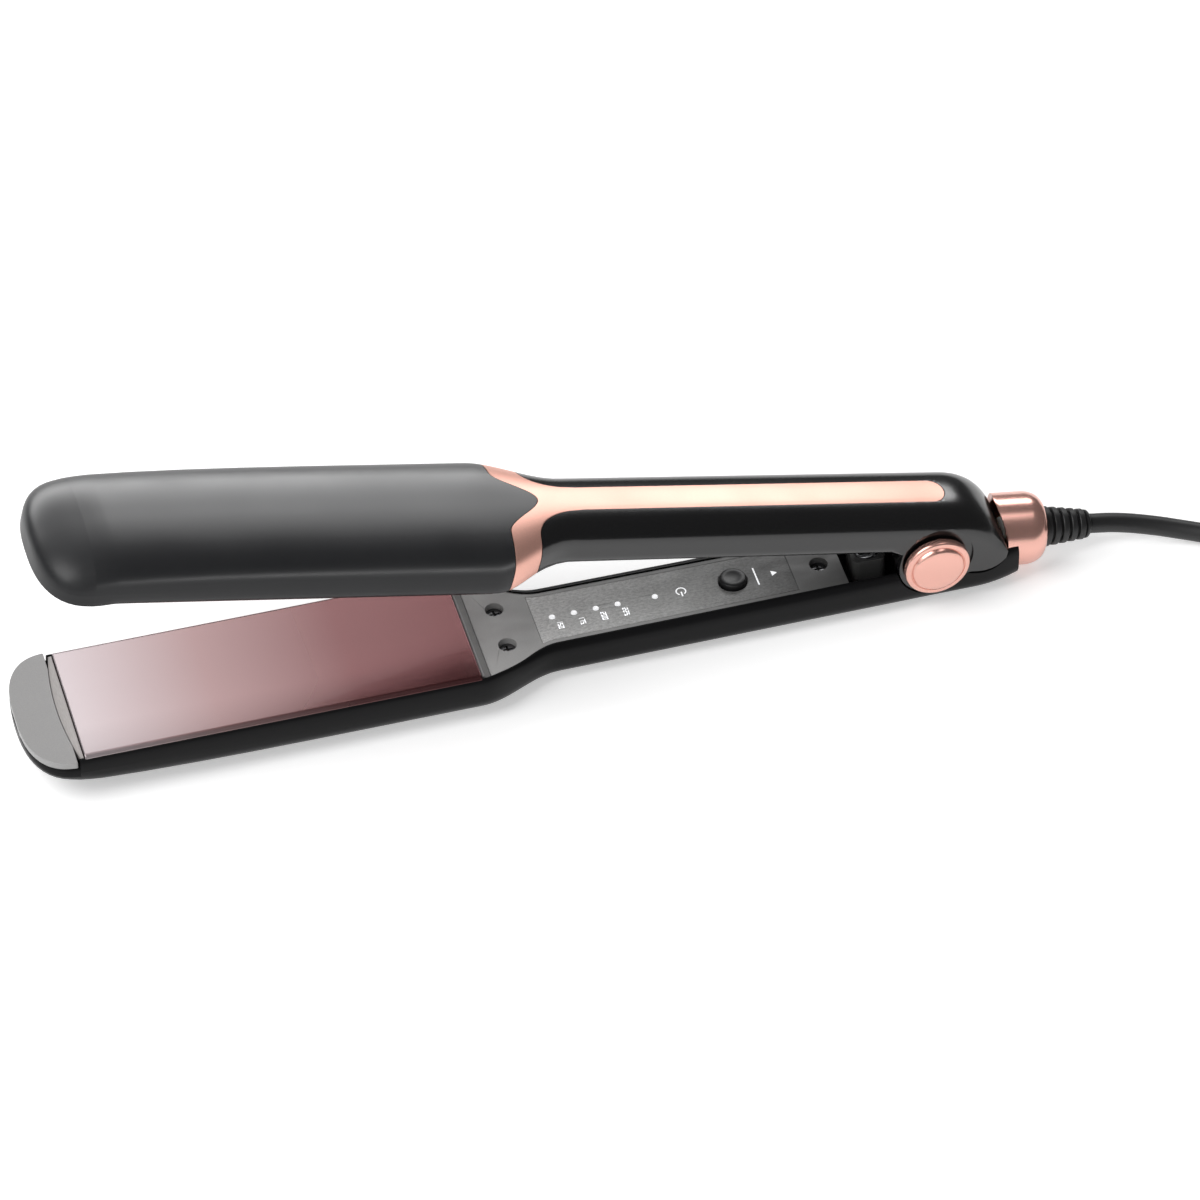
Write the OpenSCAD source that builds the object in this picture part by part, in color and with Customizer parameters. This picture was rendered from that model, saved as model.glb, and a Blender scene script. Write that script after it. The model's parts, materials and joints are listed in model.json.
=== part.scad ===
// Flat iron: two hinged arms with floating heated plates, and a cord on a swivel.
//
// Both arms are drawn in the hinge's own frame. X runs backwards along the arm
// from the hinge axis, so the tip is at negative X, and Z is measured from the
// plane in which the closed plates meet. The upper arm is the lower one's mirror
// image. lower_arm(), upper_arm() and swivel_axis() put each part in its place.

/* [Arms] */
// Length from the hinge axis to the tip
arm_len = 256; // [250:1:262]
// Height of the hinge axis above the surface, which is also an arm's full depth
arm_depth = 16; // [15.6:0.1:17]
// Half width of the jaw
jaw_half_w = 22; // [21.9:0.1:23]
// Half width of the handle where it leaves the jaw
handle_half_w = 12.7; // [12.4:0.1:13.5]
// Half width of the handle at the hinge
hinge_half_w = 12.1; // [12:0.1:12.4]
// Opening angle at rest, in degrees
open_angle = 13; // [9:0.5:13]

/* [Plates] */
// Length of a heated plate
plate_len = 110; // [100:1:112]
// Half width of a heated plate
plate_half_w = 21; // [18:0.5:21]
// Distance from a plate's face to the meeting plane
plate_gap = 0.15; // [0.1:0.05:0.3]
// How far a plate floats into its arm
plate_float = 1.2; // [0.5:0.1:1.3]

/* [Controls] */
// Diameter of the push button
button_d = 7.4; // [6:0.1:8]
// Height of the button above the panel
button_rise = 1.6; // [1.2:0.1:2]
// Spacing of the level lights
led_pitch = 6.2; // [5:0.1:6.5]

/* [Cord] */
// Diameter of the cord
cord_d = 5.5; // [5:0.1:5.5]
// Outer diameter of the swivel collar
collar_d = 20.4; // [20:0.1:20.6]
// Downward tilt of the swivel axis, in degrees
swivel_tilt = 10; // [9:0.1:10]
// Number of ribs on the strain relief
relief_ribs = 5; // [4:1:6]

/* [Hidden] */

$fn = 48;
hull_fn = 32;
step_x = 0.1;
far = 400;

// Arm outline: where the tip's rounding starts, and where jaw narrows to handle
tip_round = 14;
tip_power = 2.6;
bow_len = 20;
tip_depth = 5;
neck_front = -131;
neck_back = -107;
shell_rear = 24.5;
jaw_corner_r = 10.6;
handle_corner_r = 5.6;

// Rims, seen from the meeting plane
cap_seat = -3;
jaw_rim = -1;
handle_rim = -3.1;
saddle_rim = 3;
saddle_x = 13;
rear_from = 4;
rear_len = 17.2;
jaw_wall = 1.6;
handle_wall = 2.4;

// Heated plate and what lies under it
plate_t = 3;
plate_back = -131;
plate_front = plate_back - plate_len;
rim_step_x = plate_front - 1.6;
plate_edge_r = 1.4;
plate_play = 0.2;
plate_under = -plate_gap - plate_t;
heater_front = plate_front + 9;
heater_back = plate_back - 9;
heater_half_w = 9;
heater_t = 4;
clip_half_w = 15;
clip_t = 1;
clip_under = plate_under - heater_t - clip_t;
cushion_r = 3.5;
fuse_r = 1.6;
heel_end = -127.9;

// Tip cap and its curved inner edge
cap_inner_x = -244.4;
cap_inner_bow = 2.2;
cap_top = -0.9;
bezel_top = -1.2;
bezel_half_w = 20.3;

// Panels inside the handles
panel_top = -3.5;
panel_t = 2;
panel_front = heel_end + 0.15;
panel_back = -24;
panel_gap = 0.15;
inlay_front = -111;
inlay_back = -38;
inlay_t = 0.4;
inlay_inset = 1.6;
screw_places = [[-120.4, 7.1], [-120.4, -7.1], [-30, 0]];
screw_well_r = 2.5;
screw_seat = -7;
rib_h = 2.4;
boss_r = 3.3;
boss_top = -9;
shank_r = 1.1;
led_first = -105.9;
led_r = 0.8;
power_x = -76.7;
button_x = -54.5;
button_flange = -6.4;
button_travel = 0.7;
board_top = -9;
board_t = 1.6;

// Hinge
pin_r = 2.5;
bore_r = 2.55;
ear_r = 6.5;
lower_ear = [3, 6];
upper_ear = [6.4, 9.2];
bracket_base = 10.8;
bracket_front = -7;
bracket_rear = 4;
bracket_foot_half_w = 6.4;
cheek_in = 9.5;
cheek_r = 10.5;
cheek_drop = 3.5;
clear = 0.4;
swing_r = 21.3;
cap_r = 9.25;
cap_hub_r = 4.9;
spring_x = -16.5;
spring_coil_r = 2.7;
spring_wire_r = 0.45;
spring_turns = 6;
spring_floor = -8;

// Collar and strain relief, measured along the swivel axis from the hinge
collar_r = collar_d / 2;
collar_start = 16;
collar_end = 34;
collar_bore_r = 6;
collar_wall = 2.1;
neck_r = 5.94;
relief_start = 28;
relief_flange_end = 30.7;
rib_start = 34.3;
relief_end = 48.5;
relief_tip_r = 4;

// The object is centred on X without its cord
rear_reach = relief_end * cos(swivel_tilt) + relief_tip_r * sin(swivel_tilt);
hinge_x = (arm_len - rear_reach) / 2;
hinge_z = arm_depth;

// Cord route from the strain relief to the hank, and from the hank to the plug
cord_r = cord_d / 2;
exit_point = [hinge_x + relief_end * cos(swivel_tilt), 0,
              hinge_z - relief_end * sin(swivel_tilt)];
lead_route = [[160, -0.4, 6.1], [169, -2.2, 4.5], [178, -5.5, 3.3], [188, -10.5, 2.8],
              [198, -15.8, 2.9], [205, -19.6, 3.2]];
tail_route = [[306, 28.4, 8.8], [296, 32.5, 8.1], [285, 38.5, 7.6], [275, 43.2, 7.5],
              [268, 44, 7.5], [264, 44, 7.5]];
hank_front = 228;
hank_back = 313;
hank_turns = 3;
hank_layers = 2;
hank_inner_r = 3 * cord_d;
hank_r = hank_inner_r + (hank_turns - 0.5) * cord_d;
tie_t = 0.8;
tie_w = 16;
plug_y = 44;
plug_back = 264;
plug_len = 34;
plug_half_w = 12;
plug_half_h = 7.5;

// ---- shapes that follow a rule ----

function mix(a, b, t) = a + (b - a) * t;
function ease(t) = let(c = min(1, max(0, t))) c * c * (3 - 2 * c);
function neck(x) = ease((x - neck_front) / (neck_back - neck_front));

// Half width of an arm in plan
function half_w(x) =
  x < tip_round - arm_len
    ? jaw_half_w * pow(1 - pow((tip_round - arm_len - x) / tip_round, tip_power), 1 / tip_power)
    : x < neck_back ? mix(jaw_half_w, handle_half_w, neck(x))
    : mix(handle_half_w, hinge_half_w, min(1, (x - neck_back) / -neck_back));

// Depth of an arm's outer face, which sweeps up at the tip like a boat's bow
function depth(x) =
  x < bow_len - arm_len
    ? mix(tip_depth, arm_depth, sqrt(1 - pow((bow_len - arm_len - x) / bow_len, 2)))
    : arm_depth;

// The upper arm is rounded off behind the hinge, to turn inside the collar's mouth
function rear_depth(x) = x < rear_from ? depth(x)
  : arm_depth * sqrt(1 - pow((x - rear_from) / rear_len, 2));

function corner_r(x) =
  min(mix(jaw_corner_r, handle_corner_r, neck(x)), half_w(x) * 0.98, depth(x) + cap_seat - 0.3);
function rim_z(x) =
  x < rim_step_x ? cap_seat
  : x < saddle_x ? mix(jaw_rim, handle_rim, ease((x - heel_end) / 12))
  : saddle_rim;
function rim_edge_r(x) = mix(0.3, 2, neck(x));
function wall(x) = mix(jaw_wall, handle_wall, neck(x));

// Section of an arm across X: half width a, depth d, outer corner r, rim z, rim edge e
function section(a, d, r, z, e) = concat(
  [for (t = [180:15:270]) [r - a + r * cos(t), r - d + r * sin(t)]],
  [for (t = [270:15:360]) [a - r + r * cos(t), r - d + r * sin(t)]],
  [for (t = [0:30:90]) [a - e + e * cos(t), z - e + e * sin(t)]],
  [for (t = [90:30:180]) [e - a + e * cos(t), z - e + e * sin(t)]]);

// Stations along the arm, close together where the outline bends
tip_stations = [for (i = [0:8]) -arm_len + 0.15 + (bow_len - 0.15) * (1 - cos(i * 11.25))];
neck_stations = [for (i = [0:10]) mix(neck_front, neck_back, i / 10)];
outer_stations = concat([for (x = tip_stations) if (x < rim_step_x - 0.5) x],
  [rim_step_x - step_x, rim_step_x], [for (x = tip_stations) if (x > rim_step_x) x],
  [-180], neck_stations, [-60]);
inner_stations = concat([for (x = tip_stations) if (x > -arm_len + 3) x], [-180],
  neck_stations, [-60]);
lower_rear = [0, saddle_x - step_x, saddle_x, shell_rear];
upper_rear = [-12, -12 + step_x, rear_from, 8, 12, 15, 17.5, 19.2, 20.5];

// Points round a tube of radius r along a route
function unit(v) = v / norm(v);
function ring(p, dir, r, sides) =
  let(s = unit(cross(dir, [0, 0.0001, 1])), u = cross(s, dir))
  [for (k = [0:sides - 1]) p + r * (s * cos(360 * k / sides) + u * sin(360 * k / sides))];
function heading(path, i) =
  unit(path[min(i + 1, len(path) - 1)] - path[max(i - 1, 0)]);

module tube(path, r, sides, first_dir = undef) {
  last = len(path) - 1;
  points = [for (i = [0:last])
    each ring(path[i], i == 0 && !is_undef(first_dir) ? first_dir : heading(path, i), r, sides)];
  walls = [for (i = [0:last - 1], k = [0:sides - 1])
    let(n = (k + 1) % sides, a = i * sides)
    each [[a + k, a + n, a + sides + n], [a + k, a + sides + n, a + sides + k]]];
  ends = [[for (k = [sides - 1:-1:0]) k], [for (k = [0:sides - 1]) last * sides + k]];
  polyhedron(points, concat(walls, ends));
}

// ---- placing ----

module lower_arm() translate([hinge_x, 0, hinge_z]) children();
module upper_arm() translate([hinge_x, 0, hinge_z]) rotate([0, open_angle, 0])
  mirror([0, 0, 1]) children();
module swivel_axis() translate([hinge_x, 0, hinge_z]) rotate([0, 90 + swivel_tilt, 0])
  rotate(180) children();
module both_sides() for (s = [1, -1]) scale([1, s, 1]) children();

// ---- pieces shared by both arms ----

// Outline of the section at x: the arm itself, or the hollow inside its wall
function arm_section(x, inset, upper) =
  let(w = inset ? wall(x) : 0, d = upper ? rear_depth(x) : depth(x),
    r = x < rear_from ? corner_r(x) : min(corner_r(x), d + handle_rim - 0.6))
  section(half_w(x) - w, d - w, max(inset ? 1 : 0.3, r - w),
    inset ? far / 20 : upper ? min(rim_z(x), x < 0 ? 0 : handle_rim) : rim_z(x),
    inset ? 0.1 : upper && x > -12 ? 0.3 : rim_edge_r(x));

// Skins the sections at the stations into one closed solid
module loft(stations, inset, upper) {
  n = len(arm_section(0, false, false));
  last = len(stations) - 1;
  points = [for (x = stations) each [for (p = arm_section(x, inset, upper)) [x, p[0], p[1]]]];
  walls = [for (i = [0:last - 1], k = [0:n - 1])
    let(m = (k + 1) % n, a = i * n)
    each [[a + k, a + n + k, a + n + m], [a + k, a + n + m, a + m]]];
  ends = [[for (k = [0:n - 1]) k], [for (k = [n - 1:-1:0]) last * n + k]];
  polyhedron(points, concat(walls, ends), convexity = 8);
}

module plate_pocket() {
  w = plate_half_w + plate_play;
  translate([plate_front - plate_play, -w, plate_under - plate_float - 0.15])
    cube([plate_len + 2 * plate_play, 2 * w, far]);
}

// Low stiffening ribs across the floor of the shell, with rounded ends
module rib(x, w) hull() both_sides()
  translate([x, w, -arm_depth + jaw_wall - 0.2]) cylinder(r = 0.6, h = rib_h, $fn = 12);

module arm_shell(upper) {
  difference() {
    loft(concat(outer_stations, upper ? upper_rear : lower_rear), false, upper);
    loft(concat(inner_stations, upper ? [0, 4, 8, 12, 15, 17.5] : [0, shell_rear - 1.6]),
      true, upper);
    plate_pocket();
  }
  for (x = [-224:11:-136]) rib(x, 8);
  for (x = [-108:11:-42]) rib(x, 5);
}

module screw_bosses() {
  foot = jaw_wall - 0.2 - arm_depth;
  for (p = screw_places) translate([p[0], p[1], foot]) difference() {
    cylinder(r = boss_r, h = boss_top - foot, $fn = hull_fn);
    translate([0, 0, 2]) cylinder(r = shank_r + 0.25, h = far, $fn = hull_fn);
  }
}

module plan_outline(from, to, step, inset) {
  xs = [for (x = [from:step:to]) x];
  polygon(concat([for (x = xs) [x, inset - half_w(x)]],
    [for (i = [len(xs) - 1:-1:0]) [xs[i], half_w(xs[i]) - inset]]));
}

function cap_edge(y) = cap_inner_x + cap_inner_bow * pow(y / plate_half_w, 2);

module behind_cap_edge(shift) {
  ys = [for (i = [-10:10]) i * jaw_half_w / 10];
  polygon(concat([for (y = ys) [cap_edge(y) + shift, y]],
    [[0, jaw_half_w], [0, -jaw_half_w]]));
}

module tip_cap() {
  translate([0, 0, cap_seat]) linear_extrude(cap_top - cap_seat) difference() {
    plan_outline(-arm_len + 0.15, plate_front - 2, 0.6, 0.1);
    behind_cap_edge(0);
  }
}

module tip_bezel() {
  translate([0, 0, cap_seat]) linear_extrude(bezel_top - cap_seat) intersection() {
    behind_cap_edge(0.1);
    translate([-arm_len, -bezel_half_w]) square([arm_len + plate_front - 0.25, 2 * bezel_half_w]);
  }
}

module heel_bar() {
  w = plate_half_w - 1.3;
  x = plate_back + plate_play + 0.05;
  translate([0, w, 0]) rotate([90, 0, 0]) linear_extrude(2 * w)
    polygon([[x, panel_top - panel_t], [x, jaw_rim], [x + 0.5, jaw_rim + 0.1],
      [heel_end, panel_top + 0.2], [heel_end, panel_top - panel_t]]);
}

module heated_plate() {
  e = plate_edge_r;
  w = plate_half_w;
  top = -plate_gap;
  translate([plate_front, 0, 0]) rotate([90, 0, 90]) linear_extrude(plate_len)
    polygon(concat([[-w, plate_under], [w, plate_under]],
      [for (t = [0:18:90]) [w - e + e * cos(t), top - e + e * sin(t)]],
      [for (t = [90:18:180]) [e - w + e * cos(t), top - e + e * sin(t)]]));
}

module heater() {
  translate([heater_front, -heater_half_w, plate_under - heater_t])
    cube([heater_back - heater_front, 2 * heater_half_w, heater_t]);
}

// A steel saddle over the heater, with turned-up sides that reach the plate
module heater_clip() {
  w = clip_half_w;
  g = heater_half_w + 0.1;
  translate([heater_front + 6, 0, 0]) rotate([90, 0, 90])
    linear_extrude(heater_back - heater_front - 12)
    polygon([[-w, clip_under], [w, clip_under], [w, plate_under], [w - clip_t, plate_under],
      [w - clip_t, clip_under + clip_t], [g, clip_under + clip_t], [-g, clip_under + clip_t],
      [clip_t - w, clip_under + clip_t], [clip_t - w, plate_under], [-w, plate_under]]);
}

module cushions() {
  floor_z = jaw_wall - arm_depth + 0.02;
  for (x = [heater_front + 14, heater_back - 12.5]) both_sides()
    translate([x, 8, floor_z]) cylinder(r = cushion_r, h = clip_under - floor_z - 0.02);
}

module thermal_fuse() {
  translate([-192, heater_half_w + 2.4, plate_under - fuse_r]) rotate([0, 90, 0]) {
    cylinder(r = fuse_r, h = 12);
    translate([0, 0, -5]) cylinder(r = 0.4, h = 22);
  }
}

module panel_outline(inset) {
  xs = concat([for (x = [panel_front:1.6:neck_back]) x], [neck_back, -60, panel_back]);
  polygon(concat([for (x = xs) [x, inset - half_w(x) + wall(x)]],
    [for (i = [len(xs) - 1:-1:0]) [xs[i], half_w(xs[i]) - wall(xs[i]) - inset]]));
}

module screw_wells() {
  for (p = screw_places) translate([p[0], p[1], 0]) {
    translate([0, 0, screw_seat]) cylinder(r = screw_well_r, h = far);
    cylinder(r = shank_r + 0.15, h = far, center = true);
  }
}

module inner_panel() {
  difference() {
    union() {
      translate([0, 0, panel_top - panel_t]) linear_extrude(panel_t) panel_outline(panel_gap);
      for (p = screw_places) translate([p[0], p[1], boss_top + 0.02])
        cylinder(r = boss_r + 0.3, h = panel_top - panel_t - boss_top);
    }
    screw_wells();
  }
}

module screws() {
  for (p = screw_places) translate([p[0], p[1], 0]) difference() {
    union() {
      translate([0, 0, screw_seat]) cylinder(r = screw_well_r - 0.2, h = 1.6);
      translate([0, 0, -arm_depth + 4]) cylinder(r = shank_r, h = arm_depth - 4 + screw_seat + 0.1);
    }
    for (a = [0, 90]) rotate(a) translate([-1.5, -0.3, screw_seat + 0.8]) cube([3, 0.6, 2]);
  }
}

module wire(path, side) {
  tube([for (p = path) [p[0], side * p[1], p[2]]], 0.8, 8);
}

// ---- lower arm ----

// Everything the upper arm's cheeks sweep through, seen along the hinge axis
module cheek_sweep() {
  rotate([90, 0, 0]) linear_extrude(far, center = true) {
    circle(cheek_r + clear, $fn = 64);
    intersection() {
      circle(swing_r + clear, $fn = 96);
      polygon([[0, -cheek_drop - clear], [30, -cheek_drop - clear - 30 * tan(open_angle + 0.6)],
        [30, 30], [0, 30]]);
    }
  }
}

module lower_shell() color("#141414") {
  lower_arm() difference() {
    union() {
      arm_shell(false);
      screw_bosses();
    }
    cheek_sweep();
    rotate([0, 90 + swivel_tilt, 0]) translate([0, 0, collar_start])
      cylinder(r = collar_r + 0.1, h = 60, $fn = 64);
  }
}

module lower_tip_cap() color("#9b9b9b") lower_arm() tip_cap();
module lower_tip_bezel() color("#b5b3ae") lower_arm() tip_bezel();
module lower_heel_bar() color("#7f807c") lower_arm() heel_bar();
module lower_plate() color("#b07a78") lower_arm() heated_plate();
module lower_heater() color("#d9d4c8") lower_arm() heater();
module lower_heater_clip() color("#a9adb1") lower_arm() heater_clip();
module lower_cushions() color("#c8503c") lower_arm() cushions();
module lower_thermal_fuse() color("#e8e2d0") lower_arm() thermal_fuse();

module inlay_outline(inset) {
  intersection() {
    panel_outline(inlay_inset + inset);
    translate([inlay_front + inset, -30]) square([inlay_back - inlay_front - 2 * inset, 60]);
  }
}

module light_places() {
  for (i = [0:3]) translate([led_first + i * led_pitch, 0, 0]) children();
}

module lower_panel() color("#6f706e") lower_arm() difference() {
  inner_panel();
  translate([0, 0, panel_top - inlay_t]) linear_extrude(1) inlay_outline(0);
  translate([button_x, 0, -10]) cylinder(d = button_d + 0.5, h = 20);
  light_places() translate([0, 0, -10]) cylinder(r = led_r + 0.1, h = 20);
  translate([power_x, 0, -10]) cylinder(r = led_r + 0.1, h = 20);
}

module panel_inlay() color("#8c8d8b") lower_arm() difference() {
  translate([0, 0, panel_top - inlay_t]) linear_extrude(inlay_t) inlay_outline(0.05);
  translate([button_x, 0, -10]) cylinder(d = button_d + 1, h = 20);
  light_places() translate([0, 0, -10]) cylinder(r = led_r + 0.1, h = 20);
  translate([power_x, 0, -10]) cylinder(r = led_r + 0.1, h = 20);
}

module panel_screws() color("#b8bbbf") lower_arm() screws();

module control_board() color("#1f6b3a") lower_arm()
  translate([-109, -8.5, board_top - board_t]) cube([66, 17, board_t]);

module board_components() color("#303236") lower_arm() translate([0, 0, board_top]) {
  translate([-70, -5.5, 0]) cube([9, 8, 1.6]);
  translate([-102, -8, 0]) cube([7, 5, 1.8]);
  translate([-90, -8, 0]) cube([4, 4.5, 3]);
  translate([-80, 5, 0]) cylinder(r = 2.5, h = 2.6);
  translate([-46.5, 5, 0]) cylinder(r = 2, h = 2.6);
}

module light_pipe() translate([0, 0, board_top]) cylinder(r = led_r, h = panel_top - board_top + 0.2);
module level_lights() color("#f4f6f7") lower_arm() light_places() light_pipe();
module power_light() color("#f4f6f7") lower_arm() translate([power_x, 0, 0]) light_pipe();

module button_switch() color("#2a2c30") lower_arm() translate([button_x, 0, board_top]) {
  translate([-2.2, -2.2, 0]) cube([4.4, 4.4, 1]);
  cylinder(r = 1.2, h = 1.6);
}

module button_dome() color("#d8d8d8") lower_arm() translate([button_x, 0, board_top])
  difference() {
    cylinder(r1 = 4.6, r2 = 4, h = button_flange - board_top - 0.02, $fn = 40);
    translate([0, 0, -1]) cylinder(r = 3.4, h = 10);
  }

module power_button() color("#2b2b2c") lower_arm() translate([button_x, 0, 0]) {
  top = panel_top + button_rise;
  translate([0, 0, button_flange]) cylinder(d = button_d + 1.8, h = 0.8);
  translate([0, 0, button_flange]) cylinder(d = button_d, h = top - 0.5 - button_flange);
  translate([0, 0, top - 0.5]) cylinder(d1 = button_d, d2 = button_d - 1, h = 0.5);
}

module lower_wires() color("#c9332b") lower_arm() {
  for (s = [1, -1]) {
    wire([[-138.8, 3.5, -5], [-134, 3.6, -7.5], [-127, 3, -11.5], [-118, 2.2, -12.2],
      [-110, 2.2, -12.4]], s);
    wire([[-42, 3, -11.3], [-36, 6, -11.8], [-29, 7, -12.3], [-22, 7.3, -12.3]], s);
  }
}

module spring_cup() color("#5c5d5d") lower_arm() difference() {
  translate([spring_x, 0, spring_floor - 1.5]) linear_extrude(panel_top - spring_floor + 3.3)
    offset(2) square([5.4, 5], center = true);
  translate([spring_x, 0, spring_floor]) cylinder(r = spring_coil_r + 0.8, h = 20);
}

module opening_spring() color("#c3c6c9") lower_arm() {
  rise = 16.5 * sin(open_angle);
  height = -panel_top + rise - spring_floor - 2 * spring_wire_r - 0.9;
  steps = spring_turns * 12;
  tube([for (i = [0:steps]) [spring_x + spring_coil_r * cos(i * 30), spring_coil_r * sin(i * 30),
    spring_floor + spring_wire_r + 0.05 + height * i / steps]], spring_wire_r, 8);
}

// ---- hinge ----

module ears(span, web, z) {
  both_sides() translate([0, span[1], 0]) rotate([90, 0, 0]) linear_extrude(span[1] - span[0])
    difference() {
      union() {
        circle(ear_r);
        translate([-web, -z]) square([2 * web, z]);
      }
      circle(bore_r);
    }
}

// Two ears on a foot whose sides slope in, to lie in the shell's rounded corners
module bracket(span, web) {
  foot = arm_depth - handle_wall - 0.02;
  w = span[1] - 0.3;
  n = min(w, bracket_foot_half_w);
  ears(span, web, bracket_base + 0.3);
  translate([bracket_front, 0, 0]) rotate([90, 0, 90])
    linear_extrude(bracket_rear - bracket_front)
    polygon([[-n, -foot], [n, -foot], [w, -bracket_base], [-w, -bracket_base]]);
}

module lower_hinge_bracket() color("#8f9295") lower_arm() bracket(lower_ear, 5);
module upper_hinge_bracket() color("#8f9295") upper_arm() bracket(upper_ear, 5);
module hinge_pin() color("#c9ccd0") upper_arm() translate([0, 9.3, 0]) rotate([90, 0, 0])
  cylinder(r = pin_r, h = 18.6);

module hinge_washers() color("#e5e5e0") lower_arm() both_sides()
  translate([0, upper_ear[0] - 0.05, 0]) rotate([90, 0, 0]) difference() {
    cylinder(r = 5, h = upper_ear[0] - lower_ear[1] - 0.1);
    translate([0, 0, -1]) cylinder(r = bore_r, h = 4);
  }

// Round cap with a hub, a flat flange and a raised dome, standing along -Y
module pivot_cap() {
  rotate([90, 0, 0]) rotate_extrude($fn = 96) polygon(concat(
    [[0, 9.5], [cap_hub_r, 9.5], [cap_hub_r, 12.2], [cap_r - 0.3, 12.2], [cap_r, 12.5],
     [cap_r, 13.6], [cap_r - 0.7, 14.3], [7.4, 14.4]],
    [for (i = [0:6]) let(r = 7.2 * (1 - i / 6)) [r, 14.7 + 1.2 * (1 - pow(r / 7.2, 2))]]));
}

module pivot_cap_near() color("#d99a86") upper_arm() pivot_cap();
module pivot_cap_far() color("#d99a86") upper_arm() scale([1, -1, 1]) pivot_cap();

// ---- upper arm casing ----

trim_side_x = -126.5;
trim_apex_x = -116;
trim_bend_y = 12;
trim_back_x = -118;
fillet_x = -104;
fillet_y = 13;
strip_half_w = 4;
strip_end = 2;
strip_t = 0.9;

function chevron(y) = mix(trim_side_x, trim_apex_x, ease(1 - abs(y) / trim_bend_y));

module jaw_zone() polygon(concat([[-far, -30]], [for (y = [-30:1:30]) [chevron(y), y]],
  [[-far, 30]]));

module strip_outline(grow) {
  translate([fillet_x - 3, -strip_half_w - grow])
    square([strip_end - strip_half_w - fillet_x + 3, 2 * (strip_half_w + grow)]);
  translate([strip_end - strip_half_w, 0]) circle(strip_half_w + grow);
}

module strip(grow) translate([0, 0, -arm_depth - grow])
  linear_extrude(strip_t + 2 * grow) strip_outline(grow);

// The handle's casing starts behind a quarter ellipse on each side of the strip
module handle_zone() both_sides() polygon(concat([[far, -0.1], [fillet_x, -0.1]],
  [for (t = [270:-9:180]) [fillet_x + (fillet_x - trim_back_x) * cos(t),
    fillet_y + (fillet_y - strip_half_w) * sin(t)]],
  [[trim_back_x, 30], [far, 30]]));

module plan_cut() translate([0, 0, -far / 2]) linear_extrude(far) children();

// Round plates that carry the upper arm's walls down past the hinge on both sides
module cheeks() both_sides() translate([0, hinge_half_w, 0]) rotate([90, 0, 0])
  linear_extrude(hinge_half_w - cheek_in) {
    intersection() {
      circle(cheek_r, $fn = 64);
      translate([-far, -1]) square(2 * far);
    }
    intersection() {
      translate([rear_from, 0]) scale([rear_len / arm_depth, 1]) circle(arm_depth, $fn = 96);
      translate([0, -3.6]) square([30, 3.6 + cheek_drop]);
    }
    translate([-cheek_r, -8]) square([2 * cheek_r, 8]);
  }

module upper_jaw_shell() color("#3a3b3d") upper_arm() intersection() {
  arm_shell(true);
  plan_cut() jaw_zone();
}

module upper_trim() color("#e8b49c") upper_arm() {
  intersection() {
    arm_shell(true);
    plan_cut() difference() {
      translate([trim_side_x - 1, -30]) square([trim_back_x - fillet_x + 60, 60]);
      jaw_zone();
      handle_zone();
    }
  }
  strip(0);
}

module upper_handle_shell() color("#111112") upper_arm() difference() {
  union() {
    intersection() {
      arm_shell(true);
      plan_cut() handle_zone();
    }
    cheeks();
    intersection() {
      screw_bosses();
      translate([-60, -30, -30]) cube(60);
    }
  }
  strip(0.05);
  for (s = [1, -1]) translate([0.5, s * 21.4, -1.8]) rotate([90, 0, 0])
    cylinder(r = 10.4, h = 20, center = true, $fn = 64);
  rotate([90, 0, 0]) cylinder(r = cap_hub_r + 0.1, h = 60, center = true);
}

module upper_tip_cap() color("#9b9b9b") upper_arm() tip_cap();
module upper_tip_bezel() color("#b5b3ae") upper_arm() tip_bezel();
module upper_heel_bar() color("#7f807c") upper_arm() heel_bar();
module upper_plate() color("#b07a78") upper_arm() heated_plate();
module upper_heater() color("#d9d4c8") upper_arm() heater();
module upper_heater_clip() color("#a9adb1") upper_arm() heater_clip();
module upper_cushions() color("#c8503c") upper_arm() cushions();
module upper_thermal_fuse() color("#e8e2d0") upper_arm() thermal_fuse();
// The cover carries a tongue with a stub that seats the opening spring
module upper_cover() color("#2f3031") upper_arm() {
  inner_panel();
  translate([panel_back - 0.5, -5, panel_top - panel_t]) cube([12, 10, panel_t]);
  translate([spring_x - 1.1, 0, panel_top - 0.1]) cylinder(r = 1, h = 1.3);
}
module upper_screws() color("#b8bbbf") upper_arm() screws();

module upper_wires() color("#3a6fc4") upper_arm() {
  for (s = [1, -1])
    wire([[-138.8, 3.5, -5], [-134, 3.6, -7.5], [-127, 3, -11], [-110, 2.2, -11.3],
      [-60, 2.2, -11.3], [-40, 6, -11.3], [-22, 7.3, -12.2]], s);
}

// ---- swivel and cord ----

module swivel_collar() color("#d9a08c") intersection() {
  swivel_axis() rotate_extrude($fn = 96) polygon(concat(
    [[collar_r - collar_wall, collar_start], [collar_r, collar_start]],
    [for (t = [0:15:90]) [collar_r - 3 + 3 * cos(t), collar_end - 5 + 5 * sin(t)]],
    [[collar_bore_r, collar_end], [collar_bore_r, collar_end - 3],
     [collar_r - collar_wall, collar_end - 3]]));
  lower_arm() difference() {
    cube([120, 80, 80], center = true);
    rotate([90, 0, 0]) cylinder(r = swing_r + clear, h = 80, center = true, $fn = 96);
  }
}

module swivel_spindle() color("#d8d6cc") swivel_axis() translate([0, 0, 22.5])
  cylinder(r = 3.4, h = relief_start - 22.5);

module slip_rings() color("#c9a227") swivel_axis() for (z = [23.4, 25.8])
  translate([0, 0, z]) difference() {
    cylinder(r = 4.2, h = 1.4);
    translate([0, 0, -1]) cylinder(r = 3.4, h = 4);
  }

function taper(z) = mix(5.8, relief_tip_r, (z - rib_start) / (relief_end - rib_start));

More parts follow.
